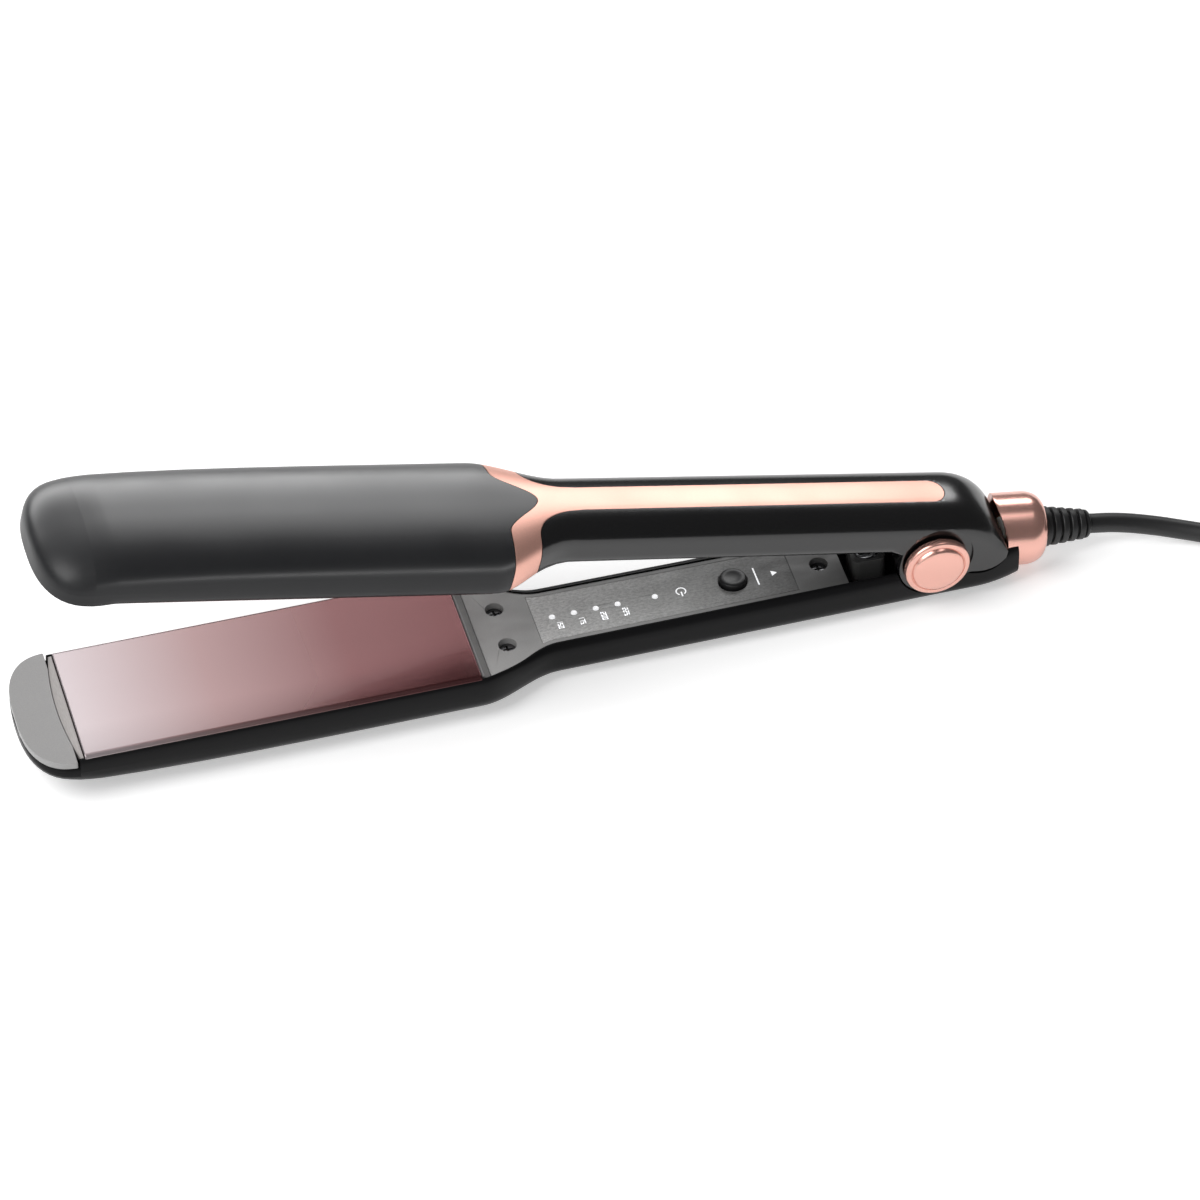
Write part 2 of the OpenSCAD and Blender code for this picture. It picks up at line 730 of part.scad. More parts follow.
// Tapered sleeve with rounded ribs, one piece with the flange that holds it in
module strain_relief() color("#161616") swivel_axis() {
  pitch = (relief_end - 1.2 - rib_start) / relief_ribs;
  rotate_extrude($fn = 64) polygon(concat(
    [[0, relief_start], [collar_r - collar_wall - 0.3, relief_start],
     [collar_r - collar_wall - 0.3, relief_flange_end], [neck_r, relief_flange_end],
     [neck_r, collar_end + 0.2], [4.9, rib_start]],
    [for (i = [0:relief_ribs - 1]) let(z = rib_start + i * pitch, r = taper(z + pitch / 2))
      each [[r - 0.9, z + 0.1 * pitch], [r, z + 0.3 * pitch], [r, z + 0.7 * pitch],
            [r - 0.9, z + 0.9 * pitch]]],
    [[relief_tip_r, relief_end - 1], [relief_tip_r - 0.4, relief_end], [0, relief_end]]));
}

module cord_lead() color("#121212")
  tube(concat([exit_point], lead_route), cord_r, 10,
    [cos(swivel_tilt), 0, -sin(swivel_tilt)]);

module hank_outline(r) hull() {
  translate([hank_front, 0]) circle(r);
  translate([hank_back, 0]) circle(r);
}

module cord_hank() color("#121212")
  translate([0, 0, tie_t]) linear_extrude(hank_layers * cord_d) hank_outline(hank_r);

module cord_tail() color("#121212") tube(tail_route, cord_r, 10);

module hank_tie() color("#26282b") translate([(hank_front + hank_back - tie_w) / 2, 0, 0])
  difference() {
    h = hank_layers * cord_d;
    translate([0, -hank_r - tie_t, 0]) cube([tie_w, 2 * (hank_r + tie_t), h + 2 * tie_t]);
    translate([-1, -hank_r, tie_t]) cube([tie_w + 2, 2 * hank_r, h]);
  }

module plug_body() color("#151515") translate([plug_back, plug_y, plug_half_h]) {
  hull() {
    translate([-12, 0, 0]) rotate([0, -90, 0]) linear_extrude(plug_len - 12)
      offset(3) square([2 * plug_half_h - 6, 2 * plug_half_w - 6], center = true);
    rotate([0, -90, 0]) cylinder(r = cord_r + 1.4, h = 2, $fn = hull_fn);
  }
}

module plug_blades() color("#c8b36a") translate([plug_back - plug_len, plug_y, plug_half_h])
  both_sides() translate([-17, 5.6, -3.15]) cube([17, 1.5, 6.3]);

lower_shell();
lower_tip_cap();
lower_tip_bezel();
lower_heel_bar();
lower_plate();
lower_heater();
lower_heater_clip();
lower_cushions();
lower_thermal_fuse();
lower_panel();
panel_inlay();
panel_screws();
control_board();
board_components();
level_lights();
power_light();
button_switch();
button_dome();
power_button();
lower_wires();
spring_cup();
opening_spring();
lower_hinge_bracket();
upper_hinge_bracket();
hinge_pin();
hinge_washers();
pivot_cap_near();
pivot_cap_far();
upper_jaw_shell();
upper_trim();
upper_handle_shell();
upper_tip_cap();
upper_tip_bezel();
upper_heel_bar();
upper_plate();
upper_heater();
upper_heater_clip();
upper_cushions();
upper_thermal_fuse();
upper_cover();
upper_screws();
upper_wires();
swivel_collar();
swivel_spindle();
slip_rings();
strain_relief();
cord_lead();
cord_hank();
cord_tail();
hank_tie();
plug_body();
plug_blades();
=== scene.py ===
import json
import math

import bmesh
import bpy
from mathutils import Matrix, Vector


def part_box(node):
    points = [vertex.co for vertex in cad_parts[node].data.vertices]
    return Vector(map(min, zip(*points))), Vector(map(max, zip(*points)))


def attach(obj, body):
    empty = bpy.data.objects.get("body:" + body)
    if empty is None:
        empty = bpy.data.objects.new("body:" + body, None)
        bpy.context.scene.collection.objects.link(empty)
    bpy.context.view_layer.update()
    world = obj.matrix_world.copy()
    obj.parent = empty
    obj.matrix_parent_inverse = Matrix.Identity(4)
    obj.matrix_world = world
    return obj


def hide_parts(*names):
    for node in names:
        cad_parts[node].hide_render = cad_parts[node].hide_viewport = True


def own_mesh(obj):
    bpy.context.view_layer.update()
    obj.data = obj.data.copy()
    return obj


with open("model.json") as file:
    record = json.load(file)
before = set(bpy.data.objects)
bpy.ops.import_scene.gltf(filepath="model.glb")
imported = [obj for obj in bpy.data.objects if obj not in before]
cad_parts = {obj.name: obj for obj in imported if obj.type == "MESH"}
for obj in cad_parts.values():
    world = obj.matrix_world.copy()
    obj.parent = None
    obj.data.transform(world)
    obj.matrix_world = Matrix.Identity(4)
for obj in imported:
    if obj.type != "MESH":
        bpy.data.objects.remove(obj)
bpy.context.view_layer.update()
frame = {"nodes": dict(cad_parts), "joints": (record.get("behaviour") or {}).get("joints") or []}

MM = 0.001
LOWER, UPPER, SWIVEL = "lower_arm", "upper_arm", "swivel"
joints = {j["name"]: j for j in frame["joints"]}
HINGE = Vector(joints["arm_hinge"]["pos_m"])
OPEN = math.radians(-joints["arm_hinge"]["range_deg"][0])
TILT = math.radians(10)

# ---- camera ----

azimuth, elevation, roll = (math.radians(v) for v in (-15.05, 44.08, -0.62))
back = Vector((math.sin(azimuth) * math.cos(elevation),
               -math.cos(azimuth) * math.cos(elevation), math.sin(elevation)))
level = Vector((math.cos(azimuth), math.sin(azimuth), 0))
upward = back.cross(level)
right = level * math.cos(roll) + upward * math.sin(roll)
top = upward * math.cos(roll) - level * math.sin(roll)
aim = HINGE + Vector((-120, 0, 9.85)) * MM + right * 0.0268 - top * 0.0023
camera = bpy.data.objects.new("camera", bpy.data.cameras.new("camera"))
bpy.context.scene.collection.objects.link(camera)
camera.matrix_world = Matrix.Translation(aim + back * 2.073) @ Matrix(
    (right, top, back)).transposed().to_4x4()
camera.data.lens = 229
camera.data.sensor_width = 36
camera.data.clip_start, camera.data.clip_end = 0.05, 20
bpy.context.scene.camera = camera

# ---- materials ----

BROAD_SCALE = 0.035  # waves per mm of the slow change in roughness over a moulding
NOISE_LOW, NOISE_HIGH = 0.3, 0.7  # the part of a noise's 0 to 1 that it mostly keeps to


def nodes_of(name):
    """A new material, its node tree and its shader."""
    m = bpy.data.materials.new(name)
    m.use_nodes = True
    tree = m.node_tree
    return m, tree, tree.nodes["Principled BSDF"]


def link(tree, a, b):
    tree.links.new(a, b)


def coords(tree, scale=(1, 1, 1)):
    """Object coordinates in millimetres, stretched by scale."""
    source = tree.nodes.new("ShaderNodeTexCoord")
    mapping = tree.nodes.new("ShaderNodeMapping")
    mapping.inputs["Scale"].default_value = [1000 * s for s in scale]
    link(tree, source.outputs["Object"], mapping.inputs["Vector"])
    return mapping.outputs["Vector"]


def noise(tree, vector, scale, detail=3, roughness=0.6):
    n = tree.nodes.new("ShaderNodeTexNoise")
    n.inputs["Scale"].default_value = scale
    n.inputs["Detail"].default_value = detail
    n.inputs["Roughness"].default_value = roughness
    link(tree, vector, n.inputs["Vector"])
    return n.outputs["Fac"]


def ramp(tree, fac, stops):
    """Colour ramp from a list of (place, colour)."""
    r = tree.nodes.new("ShaderNodeValToRGB")
    for k, (place, colour) in enumerate(stops):
        e = r.color_ramp.elements[k] if k < 2 else r.color_ramp.elements.new(place)
        e.position = place
        e.color = (*colour, 1)
    link(tree, fac, r.inputs["Fac"])
    return r.outputs["Color"]


def span(tree, fac, low, high):
    """Maps a noise onto low to high."""
    n = tree.nodes.new("ShaderNodeMapRange")
    n.inputs["From Min"].default_value = NOISE_LOW
    n.inputs["From Max"].default_value = NOISE_HIGH
    n.inputs["To Min"].default_value = low
    n.inputs["To Max"].default_value = high
    link(tree, fac, n.inputs["Value"])
    return n.outputs["Result"]


def bump(tree, bsdf, height, strength, distance):
    """Fine relief from a height; distance is in millimetres."""
    b = tree.nodes.new("ShaderNodeBump")
    b.inputs["Strength"].default_value = strength
    b.inputs["Distance"].default_value = distance * MM
    link(tree, height, b.inputs["Height"])
    link(tree, b.outputs["Normal"], bsdf.inputs["Normal"])


def mean(tree, a, b):
    """The mean of two numbers."""
    half_b = tree.nodes.new("ShaderNodeMath")
    half_b.operation = "MULTIPLY"
    half_b.inputs[1].default_value = 0.5
    link(tree, b, half_b.inputs[0])
    both = tree.nodes.new("ShaderNodeMath")
    both.operation = "MULTIPLY_ADD"
    both.inputs[1].default_value = 0.5
    link(tree, a, both.inputs[0])
    link(tree, half_b.outputs[0], both.inputs[2])
    return both.outputs[0]


def shade(c, k):
    return tuple(v * k for v in c)


def material(name, colour, rough, metallic=0.0, grain=6.0, contrast=0.12, rough_spread=0.06,
             bump_strength=0.15, bump_depth=0.02, stretch=(1, 1, 1), specular=0.5, sheen=0.0,
             ior=1.5):
    """Moulded, plated or coated surface: fine grain in the colour, the roughness and the relief."""
    m, tree, bsdf = nodes_of(name)
    grain_fac = noise(tree, coords(tree, stretch), grain)
    broad = noise(tree, coords(tree), BROAD_SCALE, 2)
    bsdf.inputs["Metallic"].default_value = metallic
    bsdf.inputs["Specular IOR Level"].default_value = specular
    bsdf.inputs["IOR"].default_value = ior
    bsdf.inputs["Sheen Weight"].default_value = sheen
    link(tree, ramp(tree, grain_fac, [(NOISE_LOW, shade(colour, 1 - contrast)),
                                      (NOISE_HIGH, shade(colour, 1 + contrast))]),
         bsdf.inputs["Base Color"])
    link(tree, span(tree, mean(tree, grain_fac, broad), rough - rough_spread,
                    rough + rough_spread), bsdf.inputs["Roughness"])
    bump(tree, bsdf, grain_fac, bump_strength, bump_depth)
    return m


MAT = {
    "jaw": material("jaw_charcoal", (0.008, 0.0082, 0.009), 0.36, grain=9, contrast=0.10,
                    bump_strength=0.25, bump_depth=0.01, specular=0.28),
    "housing": material("housing_black", (0.007, 0.007, 0.0075), 0.34, grain=9,
                        bump_strength=0.2, bump_depth=0.01, specular=0.12),
    "handle": material("handle_black", (0.004, 0.004, 0.0043), 0.20, grain=1.2, contrast=0.05,
                       rough_spread=0.03, bump_strength=0.04, bump_depth=0.02, ior=1.65),
    "trim": material("rose_trim", (0.88, 0.49, 0.40), 0.42, metallic=0.85, grain=5,
                     contrast=0.05, stretch=(0.12, 1, 1), bump_strength=0.10, bump_depth=0.01),
    "rose": material("rose_metal", (0.79, 0.44, 0.37), 0.24, metallic=0.9, grain=4,
                     contrast=0.05, rough_spread=0.04, bump_strength=0.06, bump_depth=0.01),
    "cap": material("cap_grey", (0.31, 0.308, 0.306), 0.42, grain=7, contrast=0.12,
                    bump_strength=0.3, bump_depth=0.02),
    "bezel": material("bezel_steel", (0.40, 0.38, 0.37), 0.35, metallic=0.6, grain=6,
                      stretch=(1, 0.1, 1)),
    "cup": material("spring_cup", (0.07, 0.07, 0.069), 0.5, grain=4, contrast=0.3,
                    bump_strength=0.4, bump_depth=0.04),
    "cover": material("cover_dark", (0.02, 0.02, 0.021), 0.5, grain=5, contrast=0.2,
                      bump_strength=0.4, bump_depth=0.04),
    "button": material("button_dark", (0.012, 0.012, 0.013), 0.38, grain=7, contrast=0.2,
                       bump_strength=0.3, bump_depth=0.02),
    "steel": material("steel", (0.52, 0.53, 0.54), 0.3, metallic=1, grain=5, contrast=0.1,
                      stretch=(0.2, 1, 1)),
    "screw": material("screw_steel", (0.16, 0.16, 0.165), 0.32, metallic=1, grain=5, contrast=0.1),
    "alloy": material("heater_alloy", (0.6, 0.58, 0.54), 0.45, metallic=0.9, grain=3,
                      stretch=(0.1, 1, 1)),
    "silicone": material("silicone_red", (0.42, 0.07, 0.04), 0.6, grain=3, contrast=0.15),
    "fuse": material("fuse_white", (0.75, 0.71, 0.62), 0.3, grain=3),
    "board": material("board_green", (0.015, 0.11, 0.04), 0.4, grain=1.5, contrast=0.3),
    "component": material("component_black", (0.02, 0.021, 0.023), 0.5, grain=4),
    "wire_red": material("wire_red", (0.45, 0.025, 0.02), 0.45, grain=3),
    "wire_blue": material("wire_blue", (0.03, 0.11, 0.42), 0.45, grain=3),
    "nylon": material("nylon_white", (0.7, 0.7, 0.66), 0.5, grain=3, contrast=0.05),
    "brass": material("contact_brass", (0.72, 0.50, 0.20), 0.28, metallic=1, grain=4,
                      contrast=0.08),
    "cord": material("cord_black", (0.011, 0.011, 0.0115), 0.48, grain=5, contrast=0.2,
                     bump_strength=0.3, bump_depth=0.03),
    "plug": material("plug_black", (0.012, 0.012, 0.012), 0.35, grain=5, contrast=0.2,
                     bump_strength=0.2),
    "tie": material("tie_black", (0.02, 0.021, 0.022), 0.8, grain=2.2, contrast=0.4,
                    bump_strength=0.8, bump_depth=0.15, stretch=(1, 3, 1), sheen=0.3),
}


def along(tree, node, start, end, axis="X", part=(0.0, 1.0)):
    """A number from start to end across a CAD node's box, or across part of it."""
    source = tree.nodes.new("ShaderNodeTexCoord")
    split = tree.nodes.new("ShaderNodeSeparateXYZ")
    link(tree, source.outputs["Object"], split.inputs[0])
    place = tree.nodes.new("ShaderNodeMapRange")
    low, high = (getattr(corner, axis.lower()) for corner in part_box(node))
    place.inputs["From Min"].default_value = low + (high - low) * part[0]
    place.inputs["From Max"].default_value = low + (high - low) * part[1]
    place.inputs["To Min"].default_value = start
    place.inputs["To Max"].default_value = end
    link(tree, split.outputs[axis], place.inputs["Value"])
    return place.outputs["Result"]


def times(tree, colour, number):
    """A colour made brighter or darker by a number."""
    n = tree.nodes.new("ShaderNodeMix")
    n.data_type, n.blend_type = "RGBA", "MULTIPLY"
    n.inputs["Factor"].default_value = 1.0
    link(tree, colour, n.inputs["A"])
    link(tree, number, n.inputs["B"])
    return n.outputs["Result"]


def plate_material():
    """Polished rose coating, with painted reflection from a pale tip to a deep heel and painted
    shade at its near edge.
    """
    m, tree, bsdf = nodes_of("plate_mirror")
    # painted reflection: pale at the tip, deep at the heel
    painted_reflection = ramp(tree, along(tree, "lower_plate", 0, 1), [
        (0.0, (0.65, 0.57, 0.585)), (1.0, (0.13, 0.043, 0.045)), (0.35, (0.42, 0.28, 0.28)),
        (0.7, (0.205, 0.09, 0.092))])
    streak = noise(tree, coords(tree, (0.02, 1, 1)), 2.0)
    # painted shade: the near edge is made darker
    link(tree, times(tree, painted_reflection, along(tree, "lower_plate", 0.8, 1.0, "Y", (0.0, 0.28))),
         bsdf.inputs["Base Color"])
    link(tree, span(tree, streak, 0.17, 0.25), bsdf.inputs["Roughness"])
    bump(tree, bsdf, streak, 0.03, 0.01)
    bsdf.inputs["Metallic"].default_value = 0.7
    bsdf.inputs["Coat Weight"].default_value = 0.2
    return m


def light_material():
    """Clear light pipe, faintly lit from inside, and printed marks, near white; on the printed
    marks the faint glow is painted light.
    """
    m, tree, bsdf = nodes_of("light_clear")
    fac = noise(tree, coords(tree), 1.5)
    colour = ramp(tree, fac, [(0.2, (0.85, 0.87, 0.9)), (0.8, (1.0, 1.0, 1.0))])
    link(tree, colour, bsdf.inputs["Base Color"])
    link(tree, colour, bsdf.inputs["Emission Color"])
    bsdf.inputs["Emission Strength"].default_value = 0.6
    bsdf.inputs["Roughness"].default_value = 0.3
    return m


def grey_with_painted_shade(name, node, dark, light, rear, scale, relief):
    """Mottled grey with painted shade that darkens it towards the hinge, down to rear times its
    brightness.
    """
    m, tree, bsdf = nodes_of(name)
    vector = coords(tree, (0.55, 1, 1))
    fleck = noise(tree, vector, scale, 6, 0.75)
    broad = noise(tree, vector, 0.25, 2)
    base = ramp(tree, fleck, [(0.34, (dark, dark, dark * 0.988)),
                              (0.66, (light, light, light * 0.985))])
    # painted shade under the upper arm: darker towards the hinge
    link(tree, times(tree, base, along(tree, node, 1.0, rear)), bsdf.inputs["Base Color"])
    link(tree, span(tree, broad, 0.42, 0.6), bsdf.inputs["Roughness"])
    bump(tree, bsdf, fleck, 0.5, relief)
    return m


MAT["plate"] = plate_material()
MAT["light"] = light_material()
# panel and inlay both carry painted shade towards the hinge
MAT["panel"] = grey_with_painted_shade("panel_grey", "lower_panel", 0.42, 0.50, 0.22, 4.0, 0.04)
MAT["inlay"] = grey_with_painted_shade("inlay_grey", "panel_inlay", 0.44, 0.88, 0.16, 1.6, 0.06)

# ---- mesh helpers ----


def on_lower(p):
    """p is in millimetres from the hinge: along, across, and down to the back as minus."""
    return HINGE + Vector(p) * MM


def on_upper(p):
    """The same for the upper arm, whose back is at minus too, so that both share outlines."""
    x, y, z = p[0], p[1], -p[2]
    return HINGE + Vector((x * math.cos(OPEN) + z * math.sin(OPEN), y,
                           z * math.cos(OPEN) - x * math.sin(OPEN))) * MM


def on_swivel(p):
    """p is across, across and along the swivel axis, which tilts down from the hinge."""
    along = Vector((math.cos(TILT), 0, -math.sin(TILT)))
    raised = Vector((math.sin(TILT), 0, math.cos(TILT)))
    return HINGE + (along * p[2] + raised * p[1] + Vector((0, 1, 0)) * p[0]) * MM


class Build:
    """Collects faces made of points and welds them into one mesh."""

    def __init__(self, place):
        self.bm, self.place = bmesh.new(), place

    def face(self, points):
        self.bm.faces.new([self.bm.verts.new(self.place(p)) for p in points])

    def grid(self, rows, loop=False):
        """Quads between rows of points; loop joins the last column to the first."""
        for a, b in zip(rows, rows[1:]):
            n = len(a)
            for k in range(n if loop else n - 1):
                m = (k + 1) % n
                self.face([a[k], b[k], b[m], a[m]])

    def bridge(self, a, b):
        self.grid([a, b])

    def solid(self, rings):
        """Closed solid: the side through its rings, and both ends."""
        self.grid(rings, loop=True)
        self.face(rings[0])
        self.face(rings[-1])

    def object(self, name):
        """The faces welded into a mesh, in an object of the scene."""
        bmesh.ops.remove_doubles(self.bm, verts=self.bm.verts, dist=2e-6)
        bmesh.ops.dissolve_degenerate(self.bm, edges=self.bm.edges, dist=1e-6)
        bmesh.ops.recalc_face_normals(self.bm, faces=self.bm.faces)
        mesh = bpy.data.meshes.new(name)
        self.bm.to_mesh(mesh)
        self.bm.free()
        obj = bpy.data.objects.new(name, mesh)
        bpy.context.scene.collection.objects.link(obj)
        return obj

    def done(self, name, body, mat, replaces=(), bevel=0.0, segments=2, angle=40, cuts=()):
        """The finished piece: cut, smoothed, in its material and riding on its body."""
        obj = self.object(name)
        if cuts:
            cut_away(obj, cuts)
        smooth(obj, bevel, segments, angle)
        obj.data.materials.clear()
        obj.data.materials.append(MAT[mat])
        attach(obj, body)
        if replaces:
            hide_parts(*replaces)
        return obj


def cut_away(obj, cutters):
    """Takes the cutters out of an object's mesh, and removes them."""
    for solid in cutters:
        m = obj.modifiers.new("cut", "BOOLEAN")
        m.operation, m.object, m.solver = "DIFFERENCE", solid, "EXACT"
    bpy.context.view_layer.update()
    graph = bpy.context.evaluated_depsgraph_get()
    cut = bpy.data.meshes.new_from_object(obj.evaluated_get(graph))
    obj.modifiers.clear()
    obj.data = cut
    for solid in cutters:
        bpy.data.objects.remove(solid)
    b = bmesh.new()
    b.from_mesh(cut)
    bmesh.ops.remove_doubles(b, verts=b.verts, dist=5e-6)
    bmesh.ops.dissolve_degenerate(b, edges=b.edges, dist=5e-6)
    b.to_mesh(cut)
    b.free()


def smooth(obj, bevel, segments, angle):
    """Smooth shading, with edges over angle degrees bevelled, or sharp where bevel is 0."""
    mesh = obj.data
    mesh.polygons.foreach_set("use_smooth", [True] * len(mesh.polygons))
    if bevel:
        m = obj.modifiers.new("bevel", "BEVEL")
        m.width, m.segments = bevel * MM, segments
        m.limit_method, m.angle_limit = "ANGLE", math.radians(angle)
        m.use_clamp_overlap = True
        m.miter_outer = "MITER_ARC"
    else:
        mesh.set_sharp_from_angle(angle=math.radians(angle))
    w = obj.modifiers.new("normals", "WEIGHTED_NORMAL")
    w.keep_sharp = True
    w.weight = 80


def dress(node, mat, bevel):
    """A CAD node that stays, with eased edges and its material."""
    obj = frame["nodes"][node]
    weld = obj.modifiers.new("weld", "WELD")
    weld.merge_threshold = 2e-6
    obj.data.polygons.foreach_set("use_smooth", [True] * len(obj.data.polygons))
    if bevel:
        m = obj.modifiers.new("bevel", "BEVEL")
        m.width, m.segments = bevel * MM, 2
        m.limit_method, m.angle_limit = "ANGLE", math.radians(40)
    w = obj.modifiers.new("normals", "WEIGHTED_NORMAL")
    w.keep_sharp = True
    obj.data.materials.clear()
    obj.data.materials.append(MAT[mat])
    return obj


def turned(name, profile, place, body, mat, replaces=(), steps=96, bevel=0.0, angle=35,
           cuts=()):
    """Turned piece: profile is (radius, along) points, the first and last on the axis or joined."""
    b = Build(place)
    joined = [profile[0]] if profile[0][0] > 0 else []
    b.grid([[(x, y, s) for x, y in circle(0, 0, r, steps)] for r, s in profile + joined],
           loop=True)
    return b.done(name, body, mat, replaces, bevel, 2, angle, cuts)


def cutter(place, rows):
    """A plain closed solid that is only used to cut another piece."""
    b = Build(place)
    b.solid(rows)
    return b.object("cutter")


def across(place, outline, y0, y1):
    """Cutter made of an (x, z) outline that runs from y0 to y1."""
    return cutter(place, [[(x, y, z) for x, z in outline] for y in (y0, y1)])


def circle(cx, cy, r, steps):
    """Points all the way round a circle."""
    return [(cx + r * math.cos(2 * math.pi * k / steps), cy + r * math.sin(2 * math.pi * k / steps))
            for k in range(steps)]


def arc(cx, cy, r, start, end, steps):
    """Points on a circle, angles in degrees."""
    return [(cx + r * math.cos(math.radians(start + (end - start) * k / steps)),
             cy + r * math.sin(math.radians(start + (end - start) * k / steps)))
            for k in range(steps + 1)]


def mix(a, b, t):
    return a + (b - a) * t


def ease(t):
    t = min(1.0, max(0.0, t))
    return t * t * (3 - 2 * t)


# ---- the cord, its tie and its plug ----

EXIT = HINGE + Vector((math.cos(TILT), 0, -math.sin(TILT))) * 48.5 * MM
CORD_D = 5.5
FRONT, BACK = 228.0, 313.0
LEAD = [(160, -0.4, 6.1), (169, -2.2, 4.5), (178, -5.5, 3.3), (188, -10.5, 2.8),
        (198, -15.8, 2.9), (205, -19.6, 3.2), (214, -23.6, 3.4), (221, -26.3, 3.5)]
TAIL = [(306, 28.4, 8.8), (296, 32.5, 8.1), (285, 38.5, 7.6), (275, 43.2, 7.5),
        (268, 44, 7.5), (259, 44, 7.5)]
LAYER = (3.55, 9.05)


def hank_path():
    """Three turns outside in on the first layer, then inside out on the second."""
    turns = [(27.5, 22, 0, 0), (22, 16.5, 0, 0), (16.5, 16.5, 0, 1), (16.5, 22, 1, 1),
             (22, 27.5, 1, 1), (27.5, None, 1, 1)]
    points = []
    for r, following, layer, layer_after in turns:
        z, z_after = LAYER[layer], LAYER[layer_after]
        points += [(mix(FRONT, BACK, t), -r, z) for t in (0, 0.35, 0.7)]
        points += [(BACK + r * math.cos(math.radians(a)), r * math.sin(math.radians(a)), z)
                   for a in range(-90, 91, 30)]
        if following is None:
            return points
        for t in (0.2, 0.4, 0.6, 0.8):
            inward = 5.5 * math.sin(math.pi * t) if layer != layer_after else 0
            points.append((mix(BACK, FRONT, t), mix(r, following, ease(t)) - inward,
                           mix(z, z_after, ease(t))))
        points += [(FRONT + following * math.cos(math.radians(a)),
                    following * math.sin(math.radians(a)), z_after)
                   for a in range(90, 270, 30)]
    return points


def cord_curve(name, points, radius, body, mat):
    data = bpy.data.curves.new(name, "CURVE")
    data.dimensions = "3D"
    data.resolution_u = 6
    data.bevel_depth = radius * MM
    data.bevel_resolution = 6
    data.use_fill_caps = True
    spline = data.splines.new("BEZIER")
    spline.bezier_points.add(len(points) - 1)
    for p, bezier in zip(points, spline.bezier_points):
        bezier.co = p
        bezier.handle_left_type = bezier.handle_right_type = "AUTO"
    data.materials.append(MAT[mat])
    obj = bpy.data.objects.new(name, data)
    bpy.context.scene.collection.objects.link(obj)
    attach(obj, body)
    return obj


route = [EXIT] + [Vector(p) * MM for p in LEAD + hank_path() + TAIL]
cord = cord_curve("power_cord", route, CORD_D / 2, LOWER, "cord")
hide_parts("cord_lead", "cord_hank", "cord_tail")

PLUG_X, PLUG_Y, PLUG_Z = 264.0, 44.0, 7.5
BLADE_SPACING, BLADE_THICK = 12.7, 1.44
TIE_W, TIE_HALF, TIE_H, TIE_THICK = 16, 30.25, 11.0, 0.8


def plain(p):
    return Vector(p) * MM


def rounded_box(half_y, half_z, r, steps=6):
    pts = []
    for sy, sz, a in ((1, 1, 0), (-1, 1, 90), (-1, -1, 180), (1, -1, 270)):
        pts += arc(sy * (half_y - r), sz * (half_z - r), r, a, a + 90, steps)
    return pts


def plug():
    """Moulded two-blade plug: flared body, waisted grip and a ribbed sleeve at the cord."""
    b = Build(plain)
    rows = []
    for s, hy, hz in ((0, 3.3, 3.3), (1.2, 3.9, 3.9), (2.0, 4.1, 4.1), (2.2, 3.5, 3.5),
                      (3.0, 3.5, 3.5), (3.2, 4.3, 4.3), (4.4, 4.4, 4.4), (4.6, 3.8, 3.8),
                      (5.4, 3.8, 3.8), (5.7, 4.8, 4.6), (8, 6.2, 5.2), (12, 8.6, 6.0),
                      (16, 9.3, 6.4), (20, 9.4, 6.5), (24, 10.0, 6.7), (28, 11.2, 7.1),
                      (31, 11.8, 7.4), (33, 12.0, 7.5), (34, 11.8, 7.3)):
        r = min(hy, hz) * (0.98 if s < 6 else 0.45)
        rows.append([(PLUG_X - s, PLUG_Y + y, PLUG_Z + z) for y, z in rounded_box(hy, hz, r)])
    b.solid(rows)
    return b.done("plug_grip", LOWER, "plug", ["plug_body"], 0.25, 2, 50)


def blades():
    """Flat brass blades with rounded ends and a hole near each tip."""
    b = Build(plain)
    x1, x0, hz, corner_r = PLUG_X - 33.5, PLUG_X - 51, 3.15, 1.6
    corner = [(x0 + corner_r - corner_r * math.sin(math.radians(a)),
               (hz - corner_r) + corner_r * math.cos(math.radians(a))) for a in range(0, 91, 15)]
    outline = [(x1, -hz), (x1, hz)] + corner + [(x, -z) for x, z in reversed(corner)]
    for side in (1, -1):
        y0 = PLUG_Y + side * BLADE_SPACING / 2
        hole = circle(x0 + 5, 0, 1.3, 24)
        near, far = y0 - BLADE_THICK / 2, y0 + BLADE_THICK / 2
        for ring in (outline, hole):
            rows = [[(x, y, PLUG_Z + z) for x, z in ring] for y in (near, far)]
            b.grid(rows, loop=True)
        for y in (near, far):
            edges = []
            for ring in (outline, hole):
                verts = [b.bm.verts.new(plain((x, y, PLUG_Z + z))) for x, z in ring]
                edges += [b.bm.edges.new((verts[k - 1], verts[k])) for k in range(len(verts))]
            bmesh.ops.triangle_fill(b.bm, edges=edges, use_beauty=True)
    return b.done("plug_pins", LOWER, "brass", ["plug_blades"], 0.12)


def tie():
    """Flat strap that runs once round the hank."""
    b = Build(plain)
    middle = (FRONT + BACK) / 2
    x0, x1 = middle - TIE_W / 2, middle + TIE_W / 2
    outer = rounded_box(TIE_HALF + TIE_THICK, TIE_H / 2 + TIE_THICK, 3.2, 8)
    inner = rounded_box(TIE_HALF, TIE_H / 2, 2.4, 8)
    b.grid([[(x, y, TIE_H / 2 + TIE_THICK + z) for y, z in ring]
            for ring, x in ((outer, x0), (outer, x1), (inner, x1), (inner, x0), (outer, x0))],
           loop=True)
    return b.done("cord_tie", LOWER, "tie", ["hank_tie"], 0.25)


plug_piece, pins, strap = plug(), blades(), tie()

# ---- the two arms: outlines shared by all their pieces, in millimetres from the hinge ----

